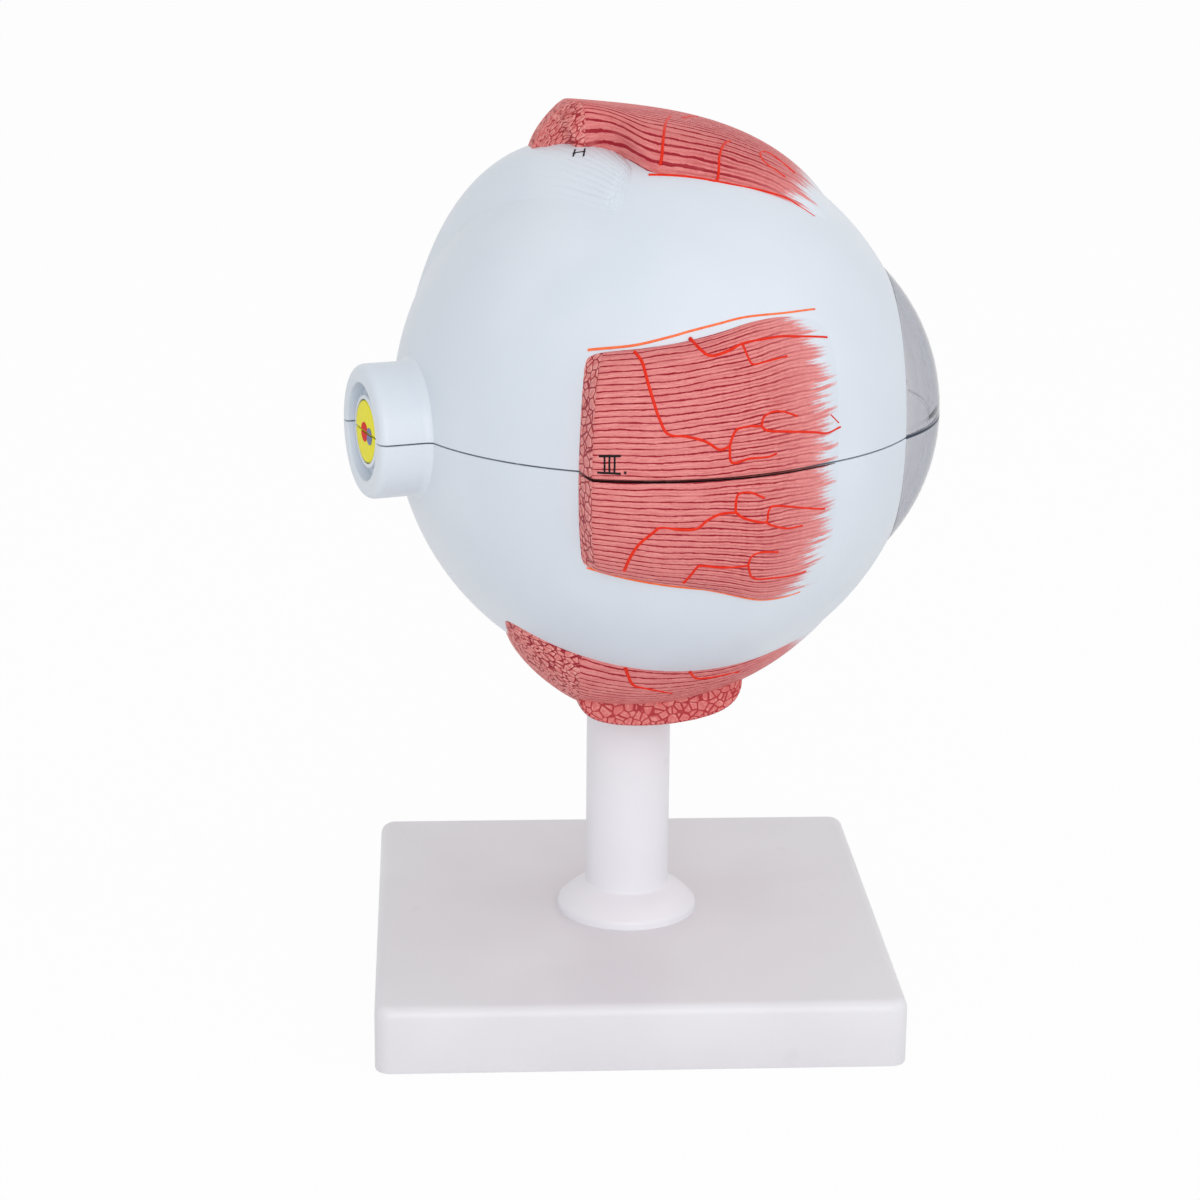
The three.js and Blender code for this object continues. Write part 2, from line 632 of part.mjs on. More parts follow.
// The lower oblique muscle: a strap cut off square on the nasal side, which passes under the
// lower rectus and rises on the far side of the ball. Its underside is flat where the stem is.
function inferiorOblique() {
  const place = (s, v) => {
    const middle = (OBLIQUE_BACK_ANGLE + OBLIQUE_FRONT_ANGLE) / 2 + OBLIQUE_SWEEP_ANGLE * s * s;
    const half = ((OBLIQUE_BACK_ANGLE - OBLIQUE_FRONT_ANGLE) / 2) * (1 - OBLIQUE_NARROWS * s);
    return [middle - v * half, -(OBLIQUE_NEAR_ANGLE + (OBLIQUE_FAR_ANGLE - OBLIQUE_NEAR_ANGLE) * s)];
  };
  const rise = (s, v) => {
    const across = OBLIQUE_RISE - OBLIQUE_LEAN * v - OBLIQUE_CROWN * v ** SIDE_POWER;
    return Math.max(across * (1 - s ** 2) ** OBLIQUE_THIN, EDGE_RISE);
  };
  return sheet(place, rise, ...OBLIQUE_STEPS)
    .subtract(rectus(-90, INFERIOR, OBLIQUE_GAP))
    .subtract(stemSeat())
    .subtract(spigotHole());
}

// The whole model

const model = new THREE.Group();
const stand = new THREE.Group();
stand.position.x = -STEM_BEHIND_ORIGIN;
model.add(stand);
stand.add(
  part('base_plate', basePlate(), WHITE_STAND),
  part('stem', stem(), WHITE_STAND),
  part('stem_screw', stemScrew(), STEEL),
  part('screw_washer', screwWasher(), STEEL),
  part('eye_spigot', eyeSpigot(), STEEL),
);

// The eye is turned a little about the stem, and its ball stands forward of the stem.
const turntable = new THREE.Group();
turntable.rotation.z = rad(EYE_TURN);
const eye = new THREE.Group();
eye.position.set(BALL_FORWARD, 0, BALL_HEIGHT);
turntable.add(eye);
stand.add(turntable);

const sclera = scleraShell().subtract(pinHoles());
const medial = rectus(0, MEDIAL);
const lateral = rectus(180, MEDIAL);
const halves = [['upper', above], ['lower', below]];
for (const [half, space] of halves) {
  const shell = sclera.intersect(space);
  eye.add(
    part(`${half}_sclera`, half === 'lower' ? shell.subtract(spigotHole()) : shell, WHITE_SHELL),
    part(`${half}_cornea`, cornea().intersect(space), CLEAR),
    part(`${half}_nerve_core`, nerveCore().intersect(space), NERVE_YELLOW),
    part(`medial_rectus_${half}`, medial.intersect(space), MUSCLE),
    part(`lateral_rectus_${half}`, lateral.intersect(space), MUSCLE),
    part(`${half}_choroid`, choroidShell().intersect(space), CHOROID_RED),
    part(`${half}_iris`, iris().intersect(space), IRIS_BLUE),
  );
}
PIN_ANGLES.forEach((angle, i) => eye.add(part(`rim_pin_${i + 1}`, rimPin(angle), WHITE_SHELL)));
eye.add(
  part('superior_rectus', rectus(90, SUPERIOR).subtract(superiorOblique(FIT_GAP)), MUSCLE),
  part('superior_oblique', superiorOblique(), WHITE_SHELL),
  part('inferior_rectus', rectus(-90, INFERIOR).subtract(stemSeat()).subtract(spigotHole()), MUSCLE),
  part('inferior_oblique', inferiorOblique(), MUSCLE),
  part('vitreous_body', vitreousBody(), CLEAR),
  part('lens', lens(), CLEAR),
);

export default model;
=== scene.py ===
"""Looks of the eye anatomy model: a left eye on a stem and a square base, five times life size.

Sizes are in millimetres and degrees, in the eye's or the stand's own frame, and become metres as a
piece is put in its place. In the eye's frame the ball's centre is the origin, +X is the optic axis
towards the cornea, -Y is the nasal side and +Z is up.
"""

from dataclasses import dataclass
from math import acos, asin, atan2, cos, degrees, exp, log, pi, radians, sin, sqrt

import bmesh
import bpy
from mathutils import Matrix, Vector, noise
from mathutils.bvhtree import BVHTree

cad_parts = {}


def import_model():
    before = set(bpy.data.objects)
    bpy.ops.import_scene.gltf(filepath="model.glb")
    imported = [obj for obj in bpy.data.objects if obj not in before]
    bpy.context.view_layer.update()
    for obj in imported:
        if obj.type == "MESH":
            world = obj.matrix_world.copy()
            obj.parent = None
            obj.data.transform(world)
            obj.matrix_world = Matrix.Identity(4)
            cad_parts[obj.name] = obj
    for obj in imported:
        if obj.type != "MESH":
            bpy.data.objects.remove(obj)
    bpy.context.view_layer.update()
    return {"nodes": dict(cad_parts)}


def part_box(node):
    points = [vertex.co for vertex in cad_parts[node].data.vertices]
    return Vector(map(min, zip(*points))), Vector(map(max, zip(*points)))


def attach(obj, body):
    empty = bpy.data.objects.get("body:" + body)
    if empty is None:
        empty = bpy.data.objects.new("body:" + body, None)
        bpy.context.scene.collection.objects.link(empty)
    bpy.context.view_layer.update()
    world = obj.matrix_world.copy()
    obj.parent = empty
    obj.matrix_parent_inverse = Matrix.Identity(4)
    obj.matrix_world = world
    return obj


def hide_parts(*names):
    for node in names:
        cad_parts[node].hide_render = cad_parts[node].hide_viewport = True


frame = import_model()

MM = 0.001


def span(node, axis):
    """The lowest and highest place of a node along an axis, in millimetres."""
    low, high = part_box(node)
    return low[axis] / MM, high[axis] / MM


# Stand
BASE_HEIGHT = span("base_plate", 2)[1]
BASE_SIDE = span("base_plate", 0)[1] - span("base_plate", 0)[0]
STEM_PLACE = sum(span("stem", 0)) / 2
STEM_TOP = span("stem", 2)[1]
COLLAR_RADIUS = span("stem", 0)[1] - STEM_PLACE
BASE_WALL = 3
BASE_CORNER = 3.5
HOLLOW_CORNER = 1.5
BASE_TOP_ROUND = 2.5
BASE_FOOT_ROUND = 0.4
RIB_THICK = 2.4
RIB_SHORT = 1
BOSS_RADIUS = 9
BOSS_FACE = 5
SCREW_HOLE_RADIUS = 2.3
SCREW_HOLE_DEPTH = 16
STEM_RADIUS = 9.5
COLLAR_EDGE = 1.2
COLLAR_SHOULDER = 2.1
COLLAR_HEIGHT = 6.2
COLLAR_FILLET = 0.5
COLLAR_TAPER = 0.6
COLLAR_BOW_UP = 0.35
COLLAR_BOW_OUT = 0.2
TOP_CHAMFER = 0.6
SPIGOT_HOLE_RADIUS = 5.3
SPIGOT_HOLE_DEPTH = 15.3

# Eyeball
EYE_TURN = 3.8
BALL_FORWARD = 5.3
BALL_HEIGHT = (span("lower_sclera", 2)[1] + span("upper_sclera", 2)[0]) / 2
BALL_HALF_LENGTH = 58.2
BALL_RADIUS = span("upper_sclera", 2)[1] - BALL_HEIGHT
SEAM_GAP = 0.5
SHELL_SEAM_GAP = 0.36
CORNEA_SEAM_GAP = 0.2
SCLERA_WALL = 4
LIMBUS_RADIUS = 31.8
CORNEA_BULGE = 13.5
CORNEA_WALL = 2.2
CORNEA_RIM = 2.2
CORNEA_LEDGE = 0.5
CORNEA_FIT = 0.12
PIN_RADIUS = 1
PIN_LENGTH = 8
PIN_ANGLES = (62, 128, -128, -62)
FIT_GAP = 0.3
SPIGOT_HOLE_TOP = span("eye_spigot", 2)[1] - BALL_HEIGHT + FIT_GAP
SEAT_DEPTH = BALL_HEIGHT - STEM_TOP - FIT_GAP

# Optic nerve
NERVE_ANGLE = 14.2
SLEEVE_RADIUS = 14.5
SLEEVE_REACH = 68
SLEEVE_ROUND = 1.9
SLEEVE_FLARE = ((58.6, 14.5), (57.7, 14.6), (57.0, 14.9), (56.4, 15.4), (55.9, 16.2))
RECESS_RADIUS = 10.5
RECESS_DEPTH = 3
BOSS_OUT = 7.9
BOSS_PROUD = 2
BOSS_ROUND = 0.35
RECESS_ROUND = 0.5
CORE_RADIUS = 6.7
CORE_PROUD = 2.1
CORE_CHAMFER = 0.4
ARTERY_RADIUS = 2.1
VEIN_RADIUS = 1.85
ARTERY_PLACE = (-0.3, -0.1)
VEIN_PLACE = (3.2, -0.4)
VESSEL_DOT_PROUD = 0.12

# Inner parts
SHELL_GAP = 0.5
CHOROID_WALL = 3
IRIS_RADIUS = 27
IRIS_THICK = 2
PUPIL_RADIUS = 9
IRIS_DISH = 0.6
IRIS_RELIEF = 0.5
IRIS_RAYS = 14
PLEATS = 70
PLEAT_REACH = 4
PLEAT_DEPTH = 0.9
CILIARY_RADIUS = 24.5
CILIARY_DEPTH = 2.6
LENS_RADIUS = 22.5
LENS_FRONT_CURVE = 50
LENS_BACK_CURVE = 30
LENS_RIM = 2.4
LENS_EDGE = 0.4
LENS_CHAMFER = 0.3
LENS_BEHIND_IRIS = 1
VITREOUS_WALL = 2.2
VITREOUS_STEP_BACK = 0.6
VENT_RADIUS = 1.5

HALVES = (("upper", 1), ("lower", -1))

# How finely round things are stepped
BALL_SIDES = 144
BALL_STEP = 2
ROD_SIDES = 64
PIN_SIDES = 24
LENS_SIDES = 128
IRIS_SIDES = 360
INNER_STEP = 3
BOWL_STEP = 1.2

# Merging, sharp edges, and the reach of cuts
MERGE = 0.002
CREASE = 32
SOFT_CREASE = 60
FAR = 400

STAND = Matrix.Translation((STEM_PLACE * MM, 0, 0)) @ Matrix.Scale(MM, 4)
EYE = (
    STAND
    @ Matrix.Rotation(radians(EYE_TURN), 4, "Z")
    @ Matrix.Translation((BALL_FORWARD, 0, BALL_HEIGHT))
)
UPRIGHT = Matrix.Rotation(radians(-90), 4, "Y")
TO_NERVE = Matrix.Rotation(radians(180 + NERVE_ANGLE), 4, "Z")

sclera_in = (BALL_HALF_LENGTH - SCLERA_WALL, BALL_RADIUS - SCLERA_WALL)
choroid_out = tuple(half - SHELL_GAP for half in sclera_in)
choroid_in = tuple(half - CHOROID_WALL for half in choroid_out)
MACULA = EYE @ Vector((-choroid_in[0], 0, 0)) / MM
OPTIC_DISC = EYE @ TO_NERVE @ Vector((choroid_in[0], 0, 0)) / MM
vitreous_out = tuple(half - SHELL_GAP for half in choroid_in)
vitreous_in = tuple(half - VITREOUS_WALL for half in vitreous_out)
limbus_along = BALL_HALF_LENGTH * sqrt(1 - (LIMBUS_RADIUS / BALL_RADIUS) ** 2)
limbus_angle = degrees(acos(limbus_along / BALL_HALF_LENGTH))
limbus_inside = (
    sclera_in[0] * cos(radians(limbus_angle)),
    sclera_in[1] * sin(radians(limbus_angle)),
)
cornea_tip = limbus_along + CORNEA_BULGE
cornea_curve = (LIMBUS_RADIUS**2 + CORNEA_BULGE**2) / (2 * CORNEA_BULGE)
cornea_centre = cornea_tip - cornea_curve
iris_front = limbus_inside[0] - SHELL_GAP - FIT_GAP
iris_back = iris_front - IRIS_THICK
ciliary_front = iris_back - FIT_GAP
ciliary_back = ciliary_front - CILIARY_DEPTH
lens_front_centre = iris_back - LENS_BEHIND_IRIS - LENS_FRONT_CURVE
lens_rim_front = lens_front_centre + sqrt(LENS_FRONT_CURVE**2 - LENS_RADIUS**2)
lens_rim_back = lens_rim_front - LENS_RIM
lens_back_centre = lens_rim_back + sqrt(LENS_BACK_CURVE**2 - LENS_RADIUS**2)
vitreous_front = ciliary_back - CILIARY_DEPTH - VITREOUS_STEP_BACK


# Materials


def colour(red, green, blue):
    """A colour as a screen shows it, 0 to 255, as the shaders take it."""
    parts = []
    for share in (red / 255, green / 255, blue / 255):
        parts.append(share / 12.92 if share <= 0.04045 else ((share + 0.055) / 1.055) ** 2.4)
    return (*parts, 1)


class Wire:
    """A value that varies over a surface. Sums on it add Math nodes to its material."""

    def __init__(self, nodes, socket):
        self.nodes = nodes
        self.socket = socket

    def maths(self, operation, first, second=0):
        return self.nodes.node("Math", {"operation": operation}, {0: first, 1: second})

    def __add__(self, other):
        return self.maths("ADD", self, other)

    def __radd__(self, other):
        return self.maths("ADD", other, self)

    def __sub__(self, other):
        return self.maths("SUBTRACT", self, other)

    def __rsub__(self, other):
        return self.maths("SUBTRACT", other, self)

    def __mul__(self, other):
        return self.maths("MULTIPLY", self, other)

    def __rmul__(self, other):
        return self.maths("MULTIPLY", other, self)

    def __abs__(self):
        return self.maths("ABSOLUTE", self)

    def fraction(self):
        return self.maths("FRACT", self)

    def whole(self):
        return self.maths("FLOOR", self)

    def most(self, other):
        return self.maths("MAXIMUM", self, other)

    def between(self, start, end):
        """0 at start and 1 at end, with a smooth rise from one to the other."""
        settings = {"interpolation_type": "SMOOTHSTEP"}
        return self.nodes.node("MapRange", settings, {0: self, 1: start, 2: end})

    def also(self, output):
        """Another output of the same node."""
        return Wire(self.nodes, self.socket.node.outputs[output])


class Nodes:
    """A node tree that is built by calls."""

    def __init__(self, tree):
        self.tree = tree
        tree.nodes.clear()

    def node(self, kind, settings, sockets, output=0):
        """Adds a node: its settings first, then the values or links of its sockets."""
        made = self.tree.nodes.new("ShaderNode" + kind)
        for key, value in settings.items():
            setattr(made, key, value)
        for key, value in sockets.items():
            if isinstance(value, Wire):
                self.tree.links.new(value.socket, made.inputs[key])
            else:
                made.inputs[key].default_value = value
        return Wire(self, made.outputs[output] if len(made.outputs) else None)

    def mix(self, share, first, second):
        return self.node("Mix", {"data_type": "RGBA"}, {0: share, 6: first, 7: second}, output=2)

    def noise(self, vector, scale, detail=2.0, roughness=0.5):
        sockets = {"Vector": vector, "Scale": scale, "Detail": detail, "Roughness": roughness}
        return self.node("TexNoise", {}, sockets)

    def join(self, x, y, z):
        return self.node("CombineXYZ", {}, {0: x, 1: y, 2: z})

    def parts(self, vector):
        """The three numbers of a vector."""
        first = self.node("SeparateXYZ", {}, {0: vector})
        return first, first.also(1), first.also(2)

    def attribute(self, name, output="Fac"):
        """A pattern that a piece's own points carry."""
        return self.node("Attribute", {"attribute_name": name}, {}, output)

    def millimetres(self):
        """Object coordinates in millimetres."""
        place = self.node("TexCoord", {}, {}, output="Object")
        return self.node("Mapping", {}, {"Vector": place, "Scale": (1 / MM, 1 / MM, 1 / MM)})

    def distance(self, place, spot):
        return self.node("VectorMath", {"operation": "DISTANCE"}, {0: place, 1: spot}, "Value")

    def bump(self, height, distance):
        """A relief in millimetres."""
        return self.node("Bump", {}, {"Height": height, "Distance": distance * MM})


class Finish(Nodes):
    """A procedural material around one Principled shader."""

    def __init__(self, name):
        self.material = bpy.data.materials.new(name)
        self.material.use_nodes = True
        super().__init__(self.material.node_tree)

    def principled(self, sockets):
        return self.node("BsdfPrincipled", {}, sockets)

    def shade(self, sockets):
        self.node("OutputMaterial", {}, {"Surface": self.principled(sockets)})
        return self.material

    def ball_white(self, place):
        """The cool white of the ball, in two close tones."""
        cloud = self.noise(place, CLOUD_SCALE)
        return self.mix(cloud.between(0.35, 0.7), SCLERA_COOL, SCLERA)

    def moulded(self, tone, grain, roughness, uneven, coat, coat_roughness, relief):
        """Moulded plastic under a thin soft gloss."""
        return self.shade({
            "Base Color": tone,
            "Roughness": roughness + grain * uneven,
            "Coat Weight": coat,
            "Coat Roughness": coat_roughness,
            "Normal": self.bump(grain, relief),
        })

    def clear(self, place, tint, roughness, bend, gloss, seam=0):
        """Clear plastic with a tint. A thin wall bends light little, and its gloss is a coat."""
        faint = self.noise(place, FAINT_SCALE)
        return self.principled({
            "Base Color": tint,
            "Metallic": seam,
            "Roughness": roughness + faint * 0.02 + seam * SEAM_ROUGHNESS,
            "IOR": bend,
            "Transmission Weight": 1.0,
            "Coat Weight": gloss,
            "Coat Roughness": CLEAR_COAT_ROUGHNESS,
            "Normal": self.bump(faint, 0.01),
        })


SCLERA = colour(217, 224, 233)
SCLERA_COOL = colour(211, 219, 229)
COAT_ROUGHNESS = 0.25
SCLERA_GLOSS = (0.33, 0.1, 0.15, COAT_ROUGHNESS, 0.02)
STAND_GLOSS = (0.34, 0.12, 0.1, 0.3, 0.015)
CLEAR_COAT_ROUGHNESS = 0.03
SEAM_GREY = colour(72, 84, 106)
SEAM_ROUGHNESS = 0.5
INNER_TINT = (0.93, 0.95, 0.965, 1)
CORNEA_TINT = (0.99, 0.98, 0.97, 1)
CORNEA_DEPTH = (0.5, 0.52, 0.6, 1)
CORNEA_DENSITY = 155.0
PAINT_GLOSS = 0.2
CLOUD_SCALE = 0.03
FAINT_SCALE = 0.15
FINE_SCALE = 0.9


def sclera_plastic():
    finish = Finish("sclera_plastic")
    place = finish.millimetres()
    white = finish.ball_white(place)
    fine = finish.noise(place, FINE_SCALE, 3)
    return finish.moulded(white, fine, *SCLERA_GLOSS)


def tendon_plastic():
    """White as the ball, with the faint threads of a tendon."""
    finish = Finish("tendon_plastic")
    along, _, cell = finish.parts(finish.attribute("fibre", "Vector"))
    place = finish.millimetres()
    outline = cell.between(0.5, 0.1) * along.between(0.2, -0.2)
    white = finish.mix(outline * 0.3, finish.ball_white(place), colour(200, 210, 220))
    fine = finish.noise(place, FINE_SCALE, 3)
    return finish.moulded(white, fine, *SCLERA_GLOSS)


def stand_plastic(name, light, dark):
    """Warmer white in two close tones, with a few handled spots."""
    finish = Finish(name)
    place = finish.millimetres()
    cloud = finish.noise(place, 0.025)
    fine = finish.noise(place, 1.4, 3)
    specks = finish.noise(place, 0.11, 1)
    tone = finish.mix(cloud.between(0.3, 0.7), dark, light)
    worn = finish.mix(specks.between(0.72, 0.86) * 0.35, tone, colour(206, 200, 202))
    return finish.moulded(worn, fine, *STAND_GLOSS)


def inner_clear():
    """The clear plastic of the lens and the vitreous body."""
    finish = Finish("inner_clear")
    shader = finish.clear(finish.millimetres(), INNER_TINT, roughness=0.03, bend=1.3, gloss=0.3)
    finish.node("OutputMaterial", {}, {"Surface": shader})
    return finish.material


def cornea_plastic():
    """Clear plastic with a grey tint that deepens in its thickness, and a dark line at the seam:
    the joint's own dark, with painted shade that makes it darker on the near side.
    """
    finish = Finish("cornea_clear")
    place = finish.millimetres()
    _, across, height = finish.parts(place)
    outside = finish.attribute("outside")
    seam = abs(height - BALL_HEIGHT).between(0.45, 0.35) * outside.between(0.2, 0.7)
    # Painted shade: the seam's dark is stronger on the near side (-Y) than on the far side.
    seam = seam * (across.between(4.0, -4.0) * 0.8 + 0.2)
    tint = finish.mix(seam, CORNEA_TINT, SEAM_GREY)
    shader = finish.clear(place, tint, roughness=0.02, bend=1.06, gloss=0.5, seam=seam)
    sockets = {"Color": CORNEA_DEPTH, "Density": CORNEA_DENSITY}
    depth = finish.node("VolumeAbsorption", {}, sockets)
    finish.node("OutputMaterial", {}, {"Surface": shader, "Volume": depth})
    return finish.material


def paint(name, light, dark, roughness=0.4):
    """Brushed paint that varies a little between two tones."""
    finish = Finish(name)
    brushed = finish.noise(finish.millimetres(), 0.8, 3)
    return finish.shade({
        "Base Color": finish.mix(brushed.between(0.3, 0.7), dark, light),
        "Roughness": roughness + brushed * 0.1,
        "Specular IOR Level": PAINT_GLOSS,
        "Normal": finish.bump(brushed, 0.03),
    })


def plated_steel():
    finish = Finish("plated_steel")
    grain = finish.noise(finish.millimetres(), 2.5, 3)
    return finish.shade({
        "Base Color": finish.mix(grain, colour(168, 171, 176), colour(202, 204, 208)),
        "Metallic": 1.0,
        "Roughness": 0.24 + grain * 0.16,
        "Normal": finish.bump(grain, 0.01),
    })


def muscle_paint():
    """Fibres in pinks with dark red grooves, cut cells behind, painted lighter than the fibres as
    painted light, near-black painted shade along the seam, and brushed ends in front.
    """
    finish = Finish("muscle_paint")
    along, strand, cell = finish.parts(finish.attribute("fibre", "Vector"))
    front = finish.attribute("to_front")
    rim = abs(finish.attribute("across")).between(0.78, 0.98)
    seam = finish.attribute("seam")
    stain = finish.attribute("stain")

    def streaks(stretch, across, seed, detail=3, roughness=0.5):
        """Noise that is drawn out along the fibres."""
        place = finish.join(along * stretch, across, seed)
        return finish.noise(place, 1.0, detail, roughness)

    place = finish.millimetres()
    streak = streaks(0.2, strand * 5.0, 0.0, roughness=0.6)
    dash = streaks(0.9, strand * 6.0, 4.0, roughness=0.65)
    patch = streaks(0.09, strand * 0.55, 3.0, detail=2)
    speckle = finish.noise(place, 3.2, 3, 0.7)
    tone = finish.mix(streak.between(0.3, 0.7), colour(212, 116, 117), colour(230, 148, 144))
    tone = finish.mix(dash.between(0.52, 0.66) * 0.5, tone, colour(192, 80, 88))
    tone = finish.mix(patch.between(0.5, 0.8) * 0.35, tone, colour(196, 90, 98))
    tone = finish.mix(stain * 0.6, tone, colour(206, 84, 84))

    from_middle = abs(strand.fraction() - 0.5)
    wander = streaks(0.7, strand.whole() * 7.3, 1.0, roughness=0.6)
    width = wander * 0.26 - 0.05 + stain * 0.12
    groove = (0.5 - from_middle).between(width + 0.06, width)
    finer = from_middle.between(width * 0.7 + 0.05, width * 0.7) * front.between(40.0, 24.0)
    groove = groove.most(finer * 0.5)
    depth = streaks(0.09, (strand + 0.5).whole() * 3.7, 5.0, detail=2)
    faded = front.between(2.0, 26.0) * 0.6 + 0.4
    fibres = finish.mix(groove * depth.between(0.14, 0.46) * faded, tone, colour(156, 24, 42))
    washed = finish.mix(front.between(22.0, 2.0) * 0.36, fibres, colour(236, 158, 158))
    smear = streaks(0.25, strand * 1.6, 2.0, detail=4, roughness=0.7)
    behind = rim * front.between(20.0, 40.0)
    washed = finish.mix(behind * smear.between(0.5, 0.6) * 0.25, washed, colour(166, 38, 46))

    deep = stain * stain
    outline = cell.between(0.085 + speckle * 0.07 + deep * 0.06, 0.03 + deep * 0.03)
    blotch = finish.noise(place, 1.1)
    # Painted light: the cells' inside is lighter than the fibres, making up for the shade on the
    # cut, which faces away from the lamps.
    inside = finish.mix(blotch.between(0.35, 0.65), colour(218, 122, 120), colour(240, 166, 160))
    inside = finish.mix(speckle.between(0.5, 0.68) * 0.4, inside, colour(194, 80, 84))
    ring = abs(cell - 0.3).between(0.07, 0.02) * blotch.between(0.44, 0.56) * 0.45
    cells = finish.mix(outline.most(ring), inside, colour(150, 26, 42))
    cells = finish.mix(deep, cells, colour(200, 72, 72))
    tissue = finish.mix(along.between(0.05, -0.2), washed, cells)
    # Painted shade: near black along the seam between the halves, where the gap between them is in
    # shade.
    tissue = finish.mix(seam.between(0.17, 0.07), tissue, colour(24, 10, 16))

    brush = strand * 1.9
    taper = abs(brush.fraction() - 0.5) * 7.0
    reach = finish.node("TexWhiteNoise", {"noise_dimensions": "1D"}, {"W": brush.whole()})
    ragged = streaks(0.8, brush * 2.0, 9.0)
    left = front - reach * 6.0 - taper * 0.7 - ragged * 4.0 + 1.5
    painted = left.between(-1.4, 3.4)
    relief = 0.5 * speckle + 0.5 * streak
    return finish.shade({
        "Base Color": finish.mix(painted, finish.ball_white(place), tissue),
        "Roughness": 0.36 + painted * 0.1 + speckle * 0.06,
        "Specular IOR Level": PAINT_GLOSS,
        "Coat Weight": 0.4 - painted * 0.4,
        "Coat Roughness": COAT_ROUGHNESS,
        "Normal": finish.bump(relief * painted, 0.06),
    })


def iris_paint():
    """Radial fibres from the pupil, darker at the rim."""
    finish = Finish("iris_paint")
    turn, out, _ = finish.parts(finish.attribute("polar", "Vector"))
    rays = finish.noise(finish.join(turn * 9.0, out * 0.12, 0.0), 1.0, 4, 0.7)
    blue = finish.mix(rays.between(0.3, 0.7), colour(58, 98, 138), colour(122, 160, 190))
    near_pupil = out.between(PUPIL_RADIUS + 5.0, PUPIL_RADIUS + 1.0)
    ring = finish.mix(near_pupil, blue, colour(150, 130, 96))
    near_rim = out.between(IRIS_RADIUS - 4.0, IRIS_RADIUS)
    return finish.shade({
        "Base Color": finish.mix(near_rim, ring, colour(34, 52, 78)),
        "Roughness": 0.3 + rays * 0.15,
        "Coat Weight": 0.3,
        "Normal": finish.bump(rays, 0.12),
    })


def choroid_paint():
    """Red brown outside, the orange red retina inside, and a dark brown pleated front."""
    finish = Finish("choroid_paint")
    place = finish.millimetres()
    inside, front, _ = finish.parts(finish.attribute("layer", "Vector"))
    mottle = finish.noise(place, 0.12, 4, 0.65)
    fine = finish.noise(place, FINE_SCALE, 3)
    outer = finish.mix(mottle.between(0.35, 0.65), colour(128, 44, 34), colour(164, 74, 54))
    retina = finish.mix(mottle.between(0.3, 0.7), colour(206, 112, 66), colour(226, 142, 92))
    macula = finish.distance(place, MACULA).between(5.0, 1.0)
    retina = finish.mix(macula * 0.7, retina, colour(176, 78, 44))
    disc = finish.distance(place, OPTIC_DISC).between(4.4, 3.8)
    retina = finish.mix(disc, retina, colour(246, 216, 150))
    pleats = finish.mix(fine, colour(62, 34, 28), colour(92, 54, 42))
    return finish.shade({
        "Base Color": finish.mix(front, finish.mix(inside, outer, retina), pleats),
        "Roughness": 0.38 + fine * 0.12,
        "Normal": finish.bump(fine, 0.05),
    })


# Meshes


def grid_lines(start, end, step):
    """Even values from start to end, about a step apart."""
    count = max(1, round(abs(end - start) / step))
    return [start + (end - start) * k / count for k in range(count + 1)]


def arc(half_length, radius, start, end, step=BALL_STEP):
    """Points on an ellipse about the optic axis, between two angles from its front."""
    points = []
    for angle in grid_lines(start, end, step):
        out = 0 if angle in (0, 180) else radius * sin(radians(angle))
        points.append((half_length * cos(radians(angle)), out))
    return points


def bowl(centre, curve, side, from_radius, to_radius):
    """Points on a circle about a centre on the axis, from one radius out from it to another."""
    start = asin(from_radius / curve)
    end = asin(to_radius / curve)
    steps = grid_lines(start, end, BOWL_STEP / curve)
    return [(centre + side * curve * cos(angle), abs(curve * sin(angle))) for angle in steps]


def rounded(along, out, radius, start, turn, steps=5):
    """A rounded edge of a profile: a quarter turn about the point (along, out)."""
    angles = grid_lines(radians(start), radians(start + turn), radians(abs(turn)) / steps)
    return [(along + radius * cos(angle), out + radius * sin(angle)) for angle in angles]


def lathe(profile, sides=BALL_SIDES):
    """Spins (along, out) points about the X axis. A profile off the axis closes on itself."""
    bm = bmesh.new()
    verts = [bm.verts.new((along, 0, out)) for along, out in profile]
    edges = [bm.edges.new(pair) for pair in zip(verts, verts[1:])]
    if profile[0][1] > 0 or profile[-1][1] > 0:
        edges.append(bm.edges.new((verts[-1], verts[0])))
    bmesh.ops.spin(
        bm, geom=verts + edges, cent=(0, 0, 0), axis=(1, 0, 0), dvec=(0, 0, 0),
        angle=2 * pi, steps=sides, use_merge=True, use_normal_flip=False, use_duplicate=False,
    )
    bmesh.ops.remove_doubles(bm, verts=bm.verts, dist=MERGE)
    bmesh.ops.recalc_face_normals(bm, faces=bm.faces)
    return bm


def rod(radius, start, end, sides=ROD_SIDES):
    return lathe([(start, 0), (start, radius), (end, radius), (end, 0)], sides)


def moved(bm, *matrices):
    for matrix in matrices:
        bm.transform(matrix)
    return bm


def block(low, high):
    """A box between two corners."""
    bm = bmesh.new()
    bmesh.ops.create_cube(bm, size=1)
    low, high = Vector(low), Vector(high)
    size = Matrix.Diagonal((*(high - low), 1))
    return moved(bm, size, Matrix.Translation((low + high) / 2))


def half_space(side, gap):
    """All that lies above or below the seam."""
    middle = side * (FAR + gap) / 2
    half = FAR / 2
    return block((-half, -half, middle - half), (half, half, middle + half))


def halves(whole, gap=SEAM_GAP):
    """The name and the mesh of the upper and of the lower half. The whole is used up."""
    for half, side in HALVES:
        yield half, cut(whole.copy(), half_space(side, gap), "INTERSECT")
    whole.free()


def bevelled(bm, edges, radius, segments):
    bmesh.ops.bevel(
        bm, geom=edges, offset=radius, offset_type="OFFSET", affect="EDGES",
        segments=segments, profile=0.5, material=-1,
    )
    return bm


def as_object(bm, name):
    mesh = bpy.data.meshes.new(name)
    bm.to_mesh(mesh)
    bm.free()
    made = bpy.data.objects.new(name, mesh)
    bpy.context.scene.collection.objects.link(made)
    return made


